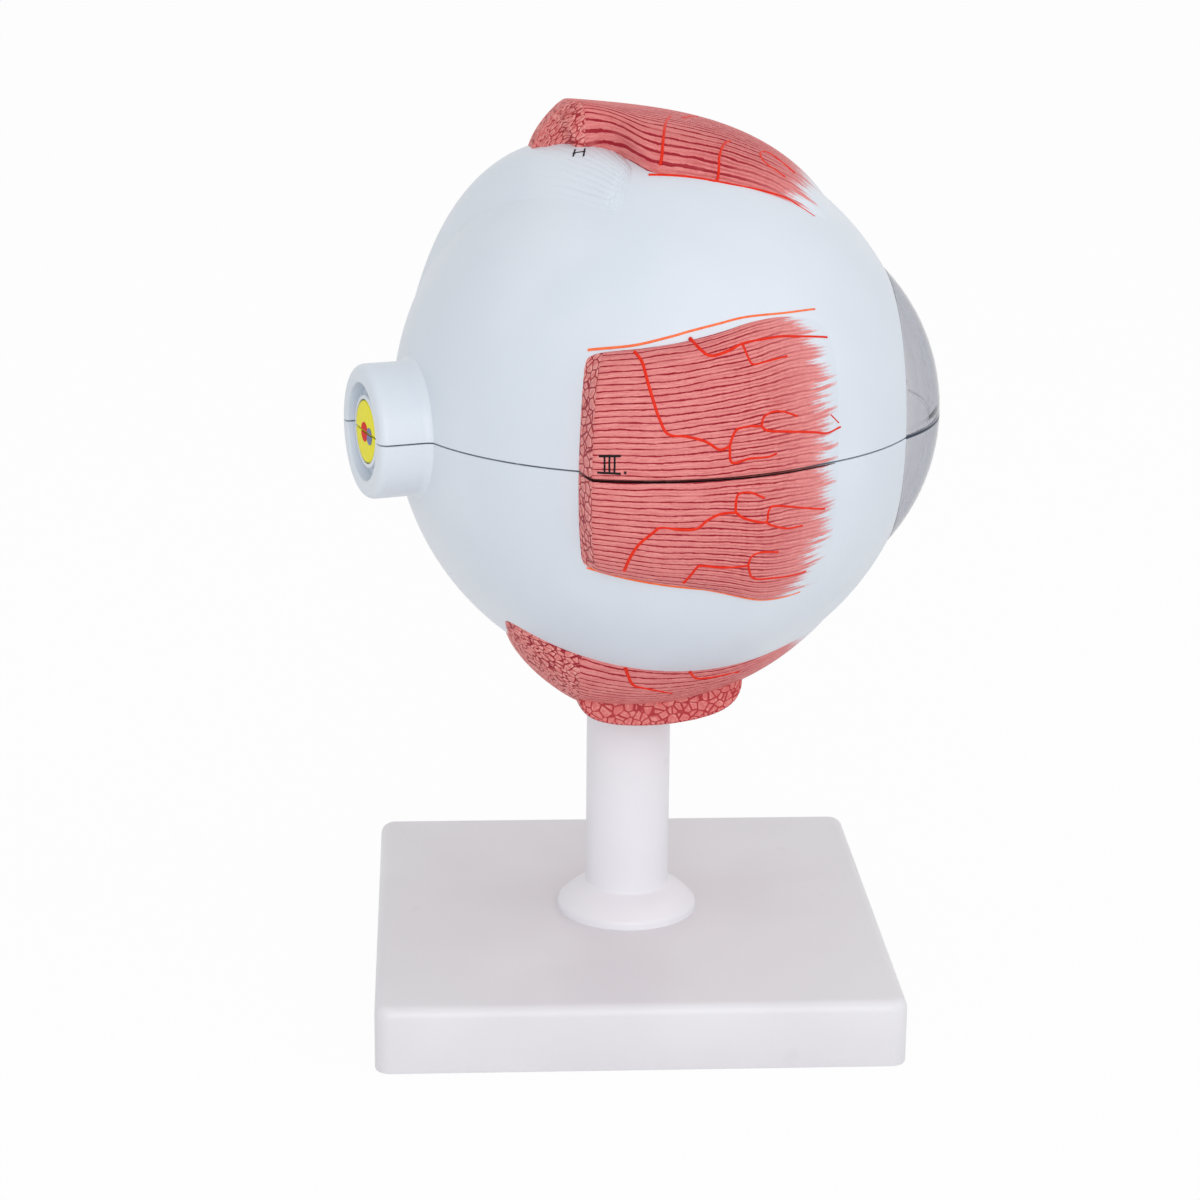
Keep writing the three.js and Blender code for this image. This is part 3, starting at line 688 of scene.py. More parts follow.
def cut(bm, tool, how="DIFFERENCE"):
    """Cuts, joins or keeps the common part of two closed meshes. Both are used up."""
    pair = [as_object(bm, "cut_base"), as_object(tool, "cut_tool")]
    modifier = pair[0].modifiers.new("cut", "BOOLEAN")
    modifier.operation = how
    modifier.object = pair[1]
    modifier.solver = "MANIFOLD"
    result = bmesh.new()
    result.from_object(pair[0], bpy.context.evaluated_depsgraph_get())
    for used in pair:
        mesh = used.data
        bpy.data.objects.remove(used)
        bpy.data.meshes.remove(mesh)
    return result


def piece(name, bm, material, body, slot, nodes=(), place=EYE, crease=CREASE):
    """A finished piece: in its place, smooth but for sharp edges, and on its body."""
    bm.transform(place)
    for face in bm.faces:
        face.smooth = True
    made = as_object(bm, name)
    made.data.set_sharp_from_angle(angle=radians(crease))
    made.data.materials.append(material)
    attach(made, body)
    if nodes:
        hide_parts(*nodes)


# Stand


def rounded_slab(side, corner, low, high):
    bm = block((-side / 2, -side / 2, low), (side / 2, side / 2, high))
    upright = [edge for edge in bm.edges if abs((edge.verts[0].co - edge.verts[1].co).z) > 1]
    return bevelled(bm, upright, corner, 10)


def round_rim(bm, height, radius, segments):
    """Rounds the edges that lie at a height."""
    rim = [edge for edge in bm.edges if all(abs(v.co.z - height) < 1e-4 for v in edge.verts)]
    bevelled(bm, rim, radius, segments)


def base_plate(material):
    plate = rounded_slab(BASE_SIDE, BASE_CORNER, 0, BASE_HEIGHT)
    round_rim(plate, BASE_HEIGHT, BASE_TOP_ROUND, 6)
    round_rim(plate, 0, BASE_FOOT_ROUND, 2)
    inside = BASE_SIDE - 2 * BASE_WALL
    ceiling = BASE_HEIGHT - BASE_WALL
    hollow = rounded_slab(inside, HOLLOW_CORNER, -1, ceiling)
    half = inside / 2 + 1
    rib = RIB_THICK / 2
    hollow = cut(hollow, block((-half, -rib, RIB_SHORT), (half, rib, BASE_HEIGHT)))
    hollow = cut(hollow, block((-rib, -half, RIB_SHORT), (rib, half, BASE_HEIGHT)))
    hollow = cut(hollow, moved(rod(BOSS_RADIUS, BOSS_FACE, BASE_HEIGHT), UPRIGHT))
    plate = cut(plate, hollow)
    plate = cut(plate, moved(rod(SCREW_HOLE_RADIUS, -1, BASE_HEIGHT + 1), UPRIGHT))
    piece("base", plate, material, "stand", "stand_white", ["base_plate"], place=STAND)


def stem(material):
    """The pillar with its flared collar, a screw hole below and the spigot's hole above."""
    foot = BASE_HEIGHT
    shoulder_radius = COLLAR_RADIUS - COLLAR_TAPER
    neck_radius = STEM_RADIUS + COLLAR_FILLET
    collar = []
    for share in grid_lines(0, 1, 0.1):
        height = foot + COLLAR_SHOULDER + (COLLAR_HEIGHT - COLLAR_SHOULDER) * share
        out = shoulder_radius - (shoulder_radius - STEM_RADIUS) * share
        bow = sin(pi * share)
        if out + COLLAR_BOW_OUT * bow > neck_radius + 0.15:
            collar.append((height + COLLAR_BOW_UP * bow, out + COLLAR_BOW_OUT * bow))
    neck = collar[-1][0] + 0.05
    hole_end = foot + SCREW_HOLE_DEPTH
    socket_end = STEM_TOP - SPIGOT_HOLE_DEPTH
    profile = [
        (hole_end, 0),
        (hole_end, SCREW_HOLE_RADIUS),
        (foot, SCREW_HOLE_RADIUS),
        (foot, COLLAR_RADIUS),
        (foot + COLLAR_EDGE, COLLAR_RADIUS),
        (foot + COLLAR_EDGE + 0.5, COLLAR_RADIUS - 0.15),
        *collar,
        (neck + 0.2, neck_radius - 0.25),
        (neck + 0.5, STEM_RADIUS + 0.05),
        *[(height, STEM_RADIUS) for height in grid_lines(neck + 0.9, STEM_TOP - TOP_CHAMFER, 7)],
        (STEM_TOP, STEM_RADIUS - TOP_CHAMFER),
        (STEM_TOP, SPIGOT_HOLE_RADIUS),
        (socket_end, SPIGOT_HOLE_RADIUS),
        (socket_end, 0),
    ]
    bm = moved(lathe(profile, ROD_SIDES * 2), UPRIGHT)
    piece("pillar", bm, material, "stand", "stand_white", ["stem"], place=STAND)


# Shells of the eyeball


def inner_ball():
    return lathe(arc(*sclera_in, 180, 0))


def spigot_hole():
    hole = rod(SPIGOT_HOLE_RADIUS, -FAR / 4, SPIGOT_HOLE_TOP)
    return moved(hole, UPRIGHT, Matrix.Translation((-BALL_FORWARD, 0, 0)))


def pin_spot(angle):
    along = BALL_HALF_LENGTH - SCLERA_WALL / 2
    out = BALL_RADIUS - SCLERA_WALL / 2
    return Matrix.Translation((along * cos(radians(angle)), out * sin(radians(angle)), 0))


def sleeve():
    end = SLEEVE_REACH
    edge = end - RECESS_DEPTH
    lip = RECESS_RADIUS + RECESS_ROUND
    profile = [
        (sclera_in[0] / 2, 0),
        (sclera_in[0] / 2, SLEEVE_FLARE[-1][1]),
        *reversed(SLEEVE_FLARE),
        *rounded(end - SLEEVE_ROUND, SLEEVE_RADIUS - SLEEVE_ROUND, SLEEVE_ROUND, 90, -90, 8),
        *rounded(end - RECESS_ROUND, lip, RECESS_ROUND, 0, -90, 4),
        (edge, RECESS_RADIUS),
        (edge, BOSS_OUT),
        *rounded(edge + BOSS_PROUD - BOSS_ROUND, BOSS_OUT - BOSS_ROUND, BOSS_ROUND, 90, -90, 4),
        (edge + BOSS_PROUD, CORE_RADIUS + FIT_GAP),
        (edge + BOSS_PROUD, 0),
    ]
    return moved(lathe(profile, ROD_SIDES * 2), TO_NERVE)


def sclera_shell():
    """The white shell, with a thin ledge inside its rim behind the foot of the cornea."""
    ledge_front = limbus_inside[0]
    profile = arc(BALL_HALF_LENGTH, BALL_RADIUS, 180, limbus_angle)
    profile += [
        (ledge_front, limbus_inside[1] - FIT_GAP / 2),
        (ledge_front, IRIS_RADIUS + FIT_GAP),
        (ledge_front - CORNEA_LEDGE, IRIS_RADIUS + FIT_GAP),
        (ledge_front - CORNEA_LEDGE, limbus_inside[1] + FIT_GAP),
    ]
    profile += arc(*sclera_in, limbus_angle + 1, 180, INNER_STEP)
    shell = cut(lathe(profile), cut(sleeve(), inner_ball()), "UNION")
    bore = rod(CORE_RADIUS + FIT_GAP, 0, SLEEVE_REACH + 1)
    return cut(shell, moved(bore, TO_NERVE))


def sclera_halves(material):
    depth = PIN_LENGTH / 2 + FIT_GAP
    for half, bm in halves(sclera_shell(), SHELL_SEAM_GAP):
        for angle in PIN_ANGLES:
            hole = rod(PIN_RADIUS + FIT_GAP, -depth, depth, PIN_SIDES)
            bm = cut(bm, moved(hole, UPRIGHT, pin_spot(angle)))
        if half == "lower":
            bm = cut(bm, spigot_hole())
        name = half + "_shell"
        piece(name, bm, material, "eye_" + half, "sclera_white", [half + "_sclera"])


def rim_pins(material):
    for number, angle in enumerate(PIN_ANGLES, 1):
        half = PIN_LENGTH / 2
        tip = rounded(half - PIN_RADIUS, 0, PIN_RADIUS, 90, -90, 6)
        bm = lathe([(-half, 0), (-half, PIN_RADIUS), *tip], PIN_SIDES)
        bm = moved(bm, UPRIGHT, pin_spot(angle))
        name = f"locating_pin_{number}"
        piece(name, bm, material, "eye_lower", "sclera_white", [f"rim_pin_{number}"])


def cornea_halves(material):
    rim_inside = limbus_inside[1] - FIT_GAP - CORNEA_RIM
    foot = limbus_inside[0] + FIT_GAP / 2
    profile = [
        *bowl(cornea_centre, cornea_curve, 1, 0, LIMBUS_RADIUS - CORNEA_FIT),
        (foot, limbus_inside[1] - CORNEA_FIT),
        (foot, rim_inside),
        *bowl(cornea_centre, cornea_curve - CORNEA_WALL, 1, rim_inside + 0.4, 0),
    ]
    for half, bm in halves(lathe(profile), CORNEA_SEAM_GAP):
        outside = bm.verts.layers.float.new("outside")
        for vert in bm.verts:
            out = (vert.co - Vector((cornea_centre, 0, 0))).length
            vert[outside] = out > cornea_curve - 0.4
        name = half + "_cornea_dome"
        piece(name, bm, material, "eye_" + half, "clear_cornea", [half + "_cornea"])


def nerve_ends(yellow, red, blue):
    end = SLEEVE_REACH - RECESS_DEPTH + CORE_PROUD
    profile = [
        (sclera_in[0] / 2, 0),
        (sclera_in[0] / 2, CORE_RADIUS),
        *rounded(end - CORE_CHAMFER, CORE_RADIUS - CORE_CHAMFER, CORE_CHAMFER, 90, -90, 4),
        (end, 0),
    ]
    core = cut(moved(lathe(profile, ROD_SIDES), TO_NERVE), inner_ball())
    for half, bm in halves(core):
        name = half + "_nerve_end"
        piece(name, bm, yellow, "eye_" + half, "nerve_yellow", [half + "_nerve_core"])
    proud = end + VESSEL_DOT_PROUD
    for name, radius, (across, up), top, dot_paint in (
        ("nerve_artery", ARTERY_RADIUS, ARTERY_PLACE, proud + 0.02, red),
        ("nerve_vein", VEIN_RADIUS, VEIN_PLACE, proud, blue),
    ):
        dot = moved(rod(radius, end - 0.1, top), Matrix.Translation((0, across, up)), TO_NERVE)
        for half, bm in halves(dot):
            piece(f"{name}_{half}", bm, dot_paint, "eye_" + half, "nerve_yellow")


# Inner pieces


def choroid_halves(material):
    opening = degrees(acos(iris_front / choroid_out[0]))
    lip = degrees(acos((ciliary_back - CILIARY_DEPTH) / choroid_in[0]))
    profile = [
        *arc(*choroid_out, 180, opening, INNER_STEP),
        (iris_front, IRIS_RADIUS + FIT_GAP),
        (ciliary_front, IRIS_RADIUS + FIT_GAP),
        (ciliary_front, CILIARY_RADIUS),
        ((ciliary_front + ciliary_back) / 2, CILIARY_RADIUS),
        (ciliary_back, CILIARY_RADIUS),
        *arc(*choroid_in, lip, 180, INNER_STEP),
    ]
    shell = lathe(profile, PLEATS * 4)
    layer = shell.verts.layers.float_vector.new("layer")
    middle = (choroid_out[1] + choroid_in[1]) / 2
    stretch = BALL_RADIUS / BALL_HALF_LENGTH
    for vert in shell.verts:
        along, out = vert.co.x, Vector(vert.co.yz).length
        inside = Vector((along * stretch, out)).length < middle
        front = along > ciliary_back - PLEAT_REACH and out < IRIS_RADIUS
        vert[layer] = (inside, front and inside, 0)
        if front and out > 1:
            turn = atan2(vert.co.z, vert.co.y)
            share = min(1, (along - ciliary_back + PLEAT_REACH) / PLEAT_REACH)
            deeper = 1 + PLEAT_DEPTH * share * (0.5 + 0.5 * cos(PLEATS * turn)) / out
            vert.co.yz = Vector(vert.co.yz) * deeper
    for half, bm in halves(shell):
        name = half + "_uvea"
        piece(name, bm, material, "choroid_" + half, "choroid_brown", [half + "_choroid"])


def iris_halves(material):
    lip = IRIS_THICK / 3
    middle = (IRIS_RADIUS + PUPIL_RADIUS) / 2
    front = [
        (iris_front - lip * IRIS_DISH * (1 - ((out - middle) / (IRIS_RADIUS - middle)) ** 2), out)
        for out in grid_lines(IRIS_RADIUS, PUPIL_RADIUS + lip, 0.6)
    ]
    profile = [
        (iris_back, PUPIL_RADIUS + lip),
        (iris_back, IRIS_RADIUS),
        *front,
        *rounded(iris_front - lip, PUPIL_RADIUS + lip, lip, 0, -90, 4)[1:],
        (iris_back + lip, PUPIL_RADIUS),
    ]
    ring = lathe(profile, IRIS_SIDES)
    polar = ring.verts.layers.float_vector.new("polar")
    for vert in ring.verts:
        turn, out = atan2(vert.co.z, vert.co.y), Vector(vert.co.yz).length
        vert[polar] = (turn, out, 0)
        if vert.co.x > iris_back + lip * 1.2 and PUPIL_RADIUS + 1 < out < IRIS_RADIUS - 0.5:
            ray = noise.noise(Vector((cos(turn) * IRIS_RAYS, sin(turn) * IRIS_RAYS, out * 0.1)))
            vert.co.x -= max(0, ray) * IRIS_RELIEF
    for half, bm in halves(ring):
        name = half + "_iris_ring"
        piece(name, bm, material, "choroid_" + half, "iris_blue", [half + "_iris"])


def lens(material):
    profile = [
        *bowl(lens_front_centre, LENS_FRONT_CURVE, 1, 0, LENS_RADIUS - LENS_EDGE),
        (lens_rim_front - LENS_CHAMFER, LENS_RADIUS),
        (lens_rim_back + LENS_CHAMFER, LENS_RADIUS),
        *bowl(lens_back_centre, LENS_BACK_CURVE, -1, LENS_RADIUS - LENS_EDGE, 0),
    ]
    bm = lathe(profile, LENS_SIDES)
    piece("clear_lens", bm, material, "lens", "clear_inner", ["lens"])


def vitreous_body(material):
    dish_radius = LENS_RADIUS + SHELL_GAP
    dish_curve = LENS_BACK_CURVE + SHELL_GAP
    hollow_front = vitreous_front - VITREOUS_WALL
    dish_outer = dish_radius + VITREOUS_WALL
    outer_angle = degrees(acos(vitreous_front / vitreous_out[0]))
    inner_angle = degrees(acos(hollow_front / vitreous_in[0]))
    vent_outer = 180 - degrees(asin(VENT_RADIUS / vitreous_out[1]))
    vent_inner = 180 - degrees(asin(VENT_RADIUS / vitreous_in[1]))
    profile = [
        *bowl(lens_back_centre, dish_curve, -1, 0, dish_radius),
        (vitreous_front, dish_radius),
        *arc(*vitreous_out, outer_angle, vent_outer, INNER_STEP),
        *arc(*vitreous_in, vent_inner, inner_angle, INNER_STEP),
        (hollow_front, dish_outer),
        *bowl(lens_back_centre, dish_curve + VITREOUS_WALL, -1, dish_outer, 0),
    ]
    bm = lathe(profile, LENS_SIDES)
    piece("vitreous", bm, material, "vitreous", "clear_inner", ["vitreous_body"])


# Muscles

RED = "muscle_red"
SINK = 0.3
UNDERSIDE = -0.6
UNDERSIDE_ANGLE = 2
CORNER_ROUND = 0.35
CORNER_END = 0.2
SECTION_SAMPLES = 2000
STRAND_STEP = 0.18
ALONG_STEP = 0.8
CUT_STEP = 0.2
CORNER_STEP = 0.25
CORNER_REACH = 1.5
FRONT_SINK_POWER = 12
GROOVE_WIDTH = 0.2
GROOVED_HEIGHT = 1.2
SMOOTH_FRONT = 3
GROOVE_FADE = 12
CELL_DEPTH = 0.12
CELL_WIDTH = 0.17
NO_CELL = 9
NO_SEAM = 9
# The distance from the seam given to the hidden underside, so the seam's painted shade reaches only
# a little way down the join face.
JOIN_SHADE_SPREAD = 0.8
MUSCLE_SEAM = 0.4
SEAM_ROUND = 0.6
AT_SEAM = 1e-4
RAY_START = 20
# How strands waver: by what share of their width, how fast along and across them, and the seed
STRAND_WAVES = ((0.3, 0.11, 0.35, 0), (0.08, 0.4, 0.9, 5), (0.05, 0.8, 2.3, 9))


def over_ball(angle, around, height):
    """A point over the ball: degrees from the optic axis, degrees around it from the nasal side
    upwards, and height over the ball."""
    along = (BALL_HALF_LENGTH + height) * cos(radians(angle))
    out = (BALL_RADIUS + height) * sin(radians(angle))
    return Vector((along, -out * cos(radians(around)), out * sin(radians(around))))


def through(*points):
    """A smooth curve through (at, value) points, as a function."""
    points = sorted(points)

    def slope(k):
        (x0, y0), (x1, y1) = points[max(k - 1, 0)], points[min(k + 1, len(points) - 1)]
        return (y1 - y0) / (x1 - x0)

    def at(x):
        x = min(max(x, points[0][0]), points[-1][0])
        k = next(i for i in range(len(points) - 1) if x <= points[i + 1][0])
        (x0, y0), (x1, y1) = points[k], points[k + 1]
        run = x1 - x0
        t = (x - x0) / run
        first = (1 + 2 * t) * (1 - t) ** 2 * y0 + t * (1 - t) ** 2 * run * slope(k)
        return first + t * t * (3 - 2 * t) * y1 + t * t * (t - 1) * run * slope(k + 1)

    return at


def always(value):
    """One value everywhere, as a function."""
    return lambda place: value


def soft_least(first, second, round_by):
    """The lesser of two heights, with the corner between them rounded."""
    low = min(first, second)
    gap = abs(first - second)
    return low - round_by * log(1 + exp(-gap / round_by)) if gap < 20 * round_by else low


@dataclass
class Muscle:
    """A sheet of fibres over the ball, cut off behind.

    s runs from the corner of the cut, 0, to the front, 1, and is negative on the cut. v runs
    across it from -1 to 1. spot(s, v) is its place in angles, crown(s, v) its height, side(s) how
    square its edges are, pitch(v) the width of a strand and lean(v) how far strands fan out in
    front. cell is the size of the cells on the cut, along and across it, and run its length.
    """

    spot: object
    crown: object
    length: float
    run: float
    pitch: object
    cell: tuple
    seed: float
    side: object = always((6, 0.5))
    lean: object = always(0)
    groove: float = 0.18
    groove_reach: float = FAR
    front_fade: float = 0
    front_curve: float = 0
    bulge: float = 1
    seam_width: float = 0
    stain: float = 0
    cut_step: float = CUT_STEP

    def top(self, s, v):
        """The height over the ball, without the strands."""
        full = self.crown(min(max(s, 0), 1), v)
        ramp = self.crown(0, v) * max(0, (s * self.length + self.run) / self.run) ** self.bulge
        if s < CORNER_END:
            full = soft_least(full, ramp, CORNER_ROUND)
        power, share = self.side(max(s, 0))
        across = max(0, 1 - abs(v) ** power) ** share
        return -SINK + (full + SINK) * across - SINK * max(0, s) ** FRONT_SINK_POWER

    def point(self, s, v, height):
        return over_ball(*self.spot(s, v), height)

    def columns(self, low, high):
        """(v, distance across, strand's number) of each column, evenly spaced over the curved
        section."""
        s = CORNER_END
        fine = [low + (high - low) * k / SECTION_SAMPLES for k in range(SECTION_SAMPLES + 1)]
        lengths = [0]
        strands = [0]
        last = self.point(s, low, self.top(s, low))
        for v in fine[1:]:
            place = self.point(s, v, self.top(s, v))
            step = (place - last).length
            lengths.append(lengths[-1] + step)
            strands.append(strands[-1] + step / self.pitch(v))
            last = place
        count = round(lengths[-1] / STRAND_STEP)
        out, k = [], 0
        for number in range(count + 1):
            wanted = lengths[-1] * number / count
            while k < SECTION_SAMPLES and lengths[k] < wanted:
                k += 1
            out.append((fine[k], lengths[k], strands[k]))
        return out

    def rows(self):
        """s of each row: fine on the cut, and coarser along the strands."""
        slope = sqrt(self.run**2 + self.crown(0, 0) ** 2)
        step = self.cut_step * self.run / slope
        back = grid_lines(-self.run / self.length, 0, step / self.length)
        near = grid_lines(0, CORNER_REACH / self.length, CORNER_STEP / self.length)
        front = grid_lines(near[-1], 1, ALONG_STEP / self.length)
        return back[:-1] + near[:-1] + front

    def sheet(self, low=-1, high=1, cut_by_stem=False):
        """The closed mesh between two places across, with its pattern in attributes. Its hidden
        underside is merged into larger faces, and the seam's painted shade stays off the join."""
        rows, columns = self.rows(), self.columns(low, high)
        nx, ny = len(rows) - 1, len(columns) - 1
        bm = bmesh.new()
        bmesh.ops.create_grid(bm, x_segments=nx, y_segments=ny, size=0.5)
        under = len(bm.verts)
        bmesh.ops.extrude_face_region(bm, geom=bm.faces[:], use_keep_orig=True)
        bm.verts.index_update()
        fibre = bm.verts.layers.float_vector.new("fibre")
        to_front, place_across, from_seam, stain = (
            bm.verts.layers.float.new(name) for name in ("to_front", "across", "seam", "stain")
        )
        rise = self.crown(0, 0)
        for number, vert in enumerate(bm.verts):
            s = rows[round((vert.co.x + 0.5) * nx)]
            v, across, phase = columns[round((vert.co.y + 0.5) * ny)]
            along = s * self.length
            left = self.length - along - self.front_fade - self.front_curve * abs(v) ** 3
            if s < 0:
                share = max(0, 1 + along / self.run)
                along = -sqrt(along**2 + (rise * (1 - share**self.bulge)) ** 2)
            if number < under:
                strand, cell, height, inward = phase, NO_CELL, UNDERSIDE, JOIN_SHADE_SPREAD
            else:
                strand, cell, height = self.relief(s, v, along, across, phase, left)
                inward = 0
            vert.co = self.point(s, v, height)
            if cut_by_stem and number >= under:
                vert.co.z = max(vert.co.z, -SEAT_DEPTH)
            vert[fibre] = (along, strand, cell)
            vert[to_front] = left
            vert[place_across] = v
            vert[from_seam] = abs(v) * self.seam_width + inward if self.seam_width else NO_SEAM
            vert[stain] = self.stain
        hidden = {face for face in bm.faces if all(vert.index < under for vert in face.verts)}
        bmesh.ops.dissolve_limit(
            bm, angle_limit=radians(UNDERSIDE_ANGLE), use_dissolve_boundaries=False, delimit=set(),
            verts=[vert for vert in bm.verts if hidden.issuperset(vert.link_faces)],
            edges=[edge for edge in bm.edges if hidden.issuperset(edge.link_faces)],
        )
        bmesh.ops.recalc_face_normals(bm, faces=bm.faces)
        return bm

    def relief(self, s, v, along, across, phase, left):
        """The strand's number, the distance to the edge of its cut cell, and the height."""
        strand = phase
        for share, by_length, by_strand, seed in STRAND_WAVES:
            spot = Vector((along * by_length, phase * by_strand, self.seed + seed))
            strand += share * noise.noise(spot)
        strand -= self.lean(v) * max(0, 2 * s - 1) ** 2
        height = self.top(s, v)
        pitch = self.pitch(v)
        edge = (0.5 - abs(strand % 1 - 0.5)) * pitch
        cell = NO_CELL
        if along < 1:
            tall, wide = self.cell
            spot = Vector((along / tall, across / wide, self.seed * 3))
            near = noise.voronoi(spot)[1]
            first, second = near[0] - spot, near[1] - spot
            apart = (near[1] - near[0]).length
            cell = (second.length_squared - first.length_squared) / (2 * apart)
        on_top = min(1, max(0, along / 0.6 + 0.5))
        fade = min(1, max(0, height + SINK) / GROOVED_HEIGHT)
        fade *= min(1, max(0, left - SMOOTH_FRONT) / GROOVE_FADE)
        fade *= max(0, 1 - max(0, along - 3) / self.groove_reach)
        wider = sqrt(pitch)
        groove = self.groove * wider * max(0, 1 - edge / (GROOVE_WIDTH * wider)) ** 1.5
        dent = CELL_DEPTH * min(self.cell) * max(0, 1 - cell / CELL_WIDTH) * (1 - on_top)
        return strand, cell, height - (groove * on_top + dent) * fade


def straight(middle, corner, front, low_edge, high_edge, rise, run, bow, thin, seam=False,
             corner_shift=always(0), hump=0, **more):
    """A straight muscle, whose edges are angles from its middle by the angle along the ball. With
    a seam it is cut in two halves whose edges there are rounded."""
    length = (corner - front) * radians(1) * BALL_RADIUS
    width = high_edge(corner) * radians(1) * BALL_RADIUS

    def spot(s, v):
        angle = corner - s * (corner - front) - corner_shift(v) * (1 - max(0, s))
        half = high_edge(angle) if v > 0 else low_edge(angle)
        start = 0
        if seam:
            start = degrees(MUSCLE_SEAM / 2 / BALL_RADIUS) / sin(radians(angle))
            start *= 1 if v > 0 else -1
        return angle, middle + start + v * half

    def crown(s, v):
        height = rise * ((1 - hump) * (1 - s**bow) ** thin + hump * (1 - s) ** 4)
        inside = SEAM_ROUND - abs(v) * width
        if seam and inside > 0:
            height -= (SEAM_ROUND - sqrt(SEAM_ROUND**2 - inside**2)) * min(1, height)
        return height

    return Muscle(spot, crown, length, run, seam_width=width if seam else 0, **more)


def medial_muscle(seed):
    return straight(
        middle=0, corner=109.7, front=56, seam=True,
        corner_shift=through((-1, 1.0), (-0.5, 0.2), (0, 0), (0.5, 0.5), (1, 1.5)),
        low_edge=through(
            (114, 20.5), (112, 21.7), (108, 22.2), (100, 23), (91, 24.4), (83.5, 26.6), (74.5, 31),
            (57, 35),
        ),
        high_edge=through(
            (115, 18.5), (114.2, 21), (112.8, 23.2), (110.5, 24.3), (106, 24.6), (100, 24.8),
            (92, 25.8), (84.5, 27.7), (78, 30), (70, 32), (57, 33.5),
        ),
        rise=6.5, run=4.4, bow=1.5, thin=1.25,
        pitch=through((-1, 1.6), (-0.7, 1.4), (0.7, 1.4), (1, 1.8)), cell=(2.4, 2.3), seed=seed,
        side=always((4, 0.65)), front_curve=8,
        lean=through((-1, 0), (0, 0), (0.4, 1.9), (0.8, 2.6), (1, 2.6)),
    )


def superior_muscle():
    return straight(
        middle=90, corner=107, front=51,
        corner_shift=through((-1, 0.1), (-0.8, 1.9), (-0.45, 2), (-0.1, 0.5), (0.3, 0), (1, 0)),
        low_edge=through(
            (118, 3), (111, 4.5), (109.5, 6), (108.3, 9), (106, 9.8), (104, 10.2), (101, 12),
            (99, 15), (97, 18.8), (95, 21.7), (91, 23.3), (85, 24.2), (73, 25.3), (53, 26),
        ),
        high_edge=through((118, 14), (105, 17), (92, 22), (80, 24.5), (53, 26)),
        rise=10.9, run=12, bow=3.5, thin=1, hump=0.63, bulge=0.52,
        pitch=through((-1, 2.3), (-0.7, 2.1), (-0.35, 1.4), (0, 1.0), (1, 1.0)),
        cell=(2.0, 1.25), seed=31, side=always((5, 0.75)), front_fade=3, front_curve=5, stain=0.35,
    )


def inferior_muscle():
    edge = through((130, 35), (110, 35), (92, 33.8), (80, 32), (65, 29.5), (47, 26))
    return straight(
        middle=-90, corner=108.5, front=47, low_edge=edge, high_edge=edge,
        corner_shift=through((-1, 0), (0, 2), (0.5, 1.5), (1, -1.5)),
        rise=7.3, run=20, bow=1, thin=1, bulge=0.7,
        pitch=through((-1, 1.0), (0.2, 1.0), (0.6, 1.2), (1, 1.9)),
        cell=(1.9, 1.4), seed=47, side=always((4, 1)), front_fade=8.5, cut_step=0.27,
    )


OBLIQUE_BACK_ANGLE = 108.5
OBLIQUE_FRONT_ANGLE = 73
OBLIQUE_NEAR_ANGLE = 71
OBLIQUE_FAR_ANGLE = 152
OBLIQUE_SWEEP_ANGLE = 16
OBLIQUE_RISE = 9.6
OBLIQUE_LEAN = 1.5
OBLIQUE_CROWN = 2
OBLIQUE_NARROWS = 0.35
OBLIQUE_THIN = 0.8
OBLIQUE_RUN = 1.2


def oblique_muscle():
    """The lower oblique: a strap cut off square on the nasal side, which passes under the ball."""
    turn = OBLIQUE_FAR_ANGLE - OBLIQUE_NEAR_ANGLE
    length = radians(turn) * BALL_RADIUS

    def spot(s, v):
        ahead = max(s, 0)
        middle = (OBLIQUE_BACK_ANGLE + OBLIQUE_FRONT_ANGLE) / 2 + OBLIQUE_SWEEP_ANGLE * ahead**2
        half = (OBLIQUE_BACK_ANGLE - OBLIQUE_FRONT_ANGLE) / 2 * (1 - OBLIQUE_NARROWS * ahead)
        return middle - v * half, -(OBLIQUE_NEAR_ANGLE + turn * s)

    def crown(s, v):
        across = OBLIQUE_RISE - OBLIQUE_LEAN * v - OBLIQUE_CROWN * v**4
        return across * (1 - s**2) ** OBLIQUE_THIN

    return Muscle(
        spot, crown, length, OBLIQUE_RUN, pitch=always(1.0), cell=(1.7, 1.9), seed=63,
        side=always((9, 0.5)), front_fade=4.5, stain=0.6,
    )


TENDON_CUT = ((105.5, 57.5), (98.5, 72.5))
TENDON_TURN = ((133, 80), (103, 98))
TENDON_END = ((162, 120), (108, 140))
TENDON_RISE = 1.8
TENDON_SWELL = 18
TENDON_SWELL_START = 1.5
TENDON_SWELL_END = 0.7
TENDON_RUN = 3


def tendon():
    """The tendon of the upper oblique: a low white strap that passes under the upper muscle and
    swells into a broad mound over the back of the ball."""

    def mix(first, second, share):
        return [a + (b - a) * share for a, b in zip(first, second)]

    def spot(s, v):
        share = (v + 1) / 2
        start, turn, end = (mix(*sides, share) for sides in (TENDON_CUT, TENDON_TURN, TENDON_END))
        return mix(mix(start, turn, s), mix(turn, end, s), s)

    def crown(s, v):
        swell = TENDON_SWELL * s**TENDON_SWELL_START * (1 - s) ** TENDON_SWELL_END
        return TENDON_RISE * (1 - s) ** 2 + swell

    def side(s):
        share = min(1, 2 * s)
        return 3 - share, 1 + 0.4 * share

    length = 2 * (over_ball(*spot(0.5, 0), 0) - over_ball(*spot(0, 0), 0)).length
    return Muscle(
        spot, crown, length, TENDON_RUN, pitch=always(1.9), cell=(1.3, 1.3), seed=77, side=side,
        groove=0.16, groove_reach=28,
    )


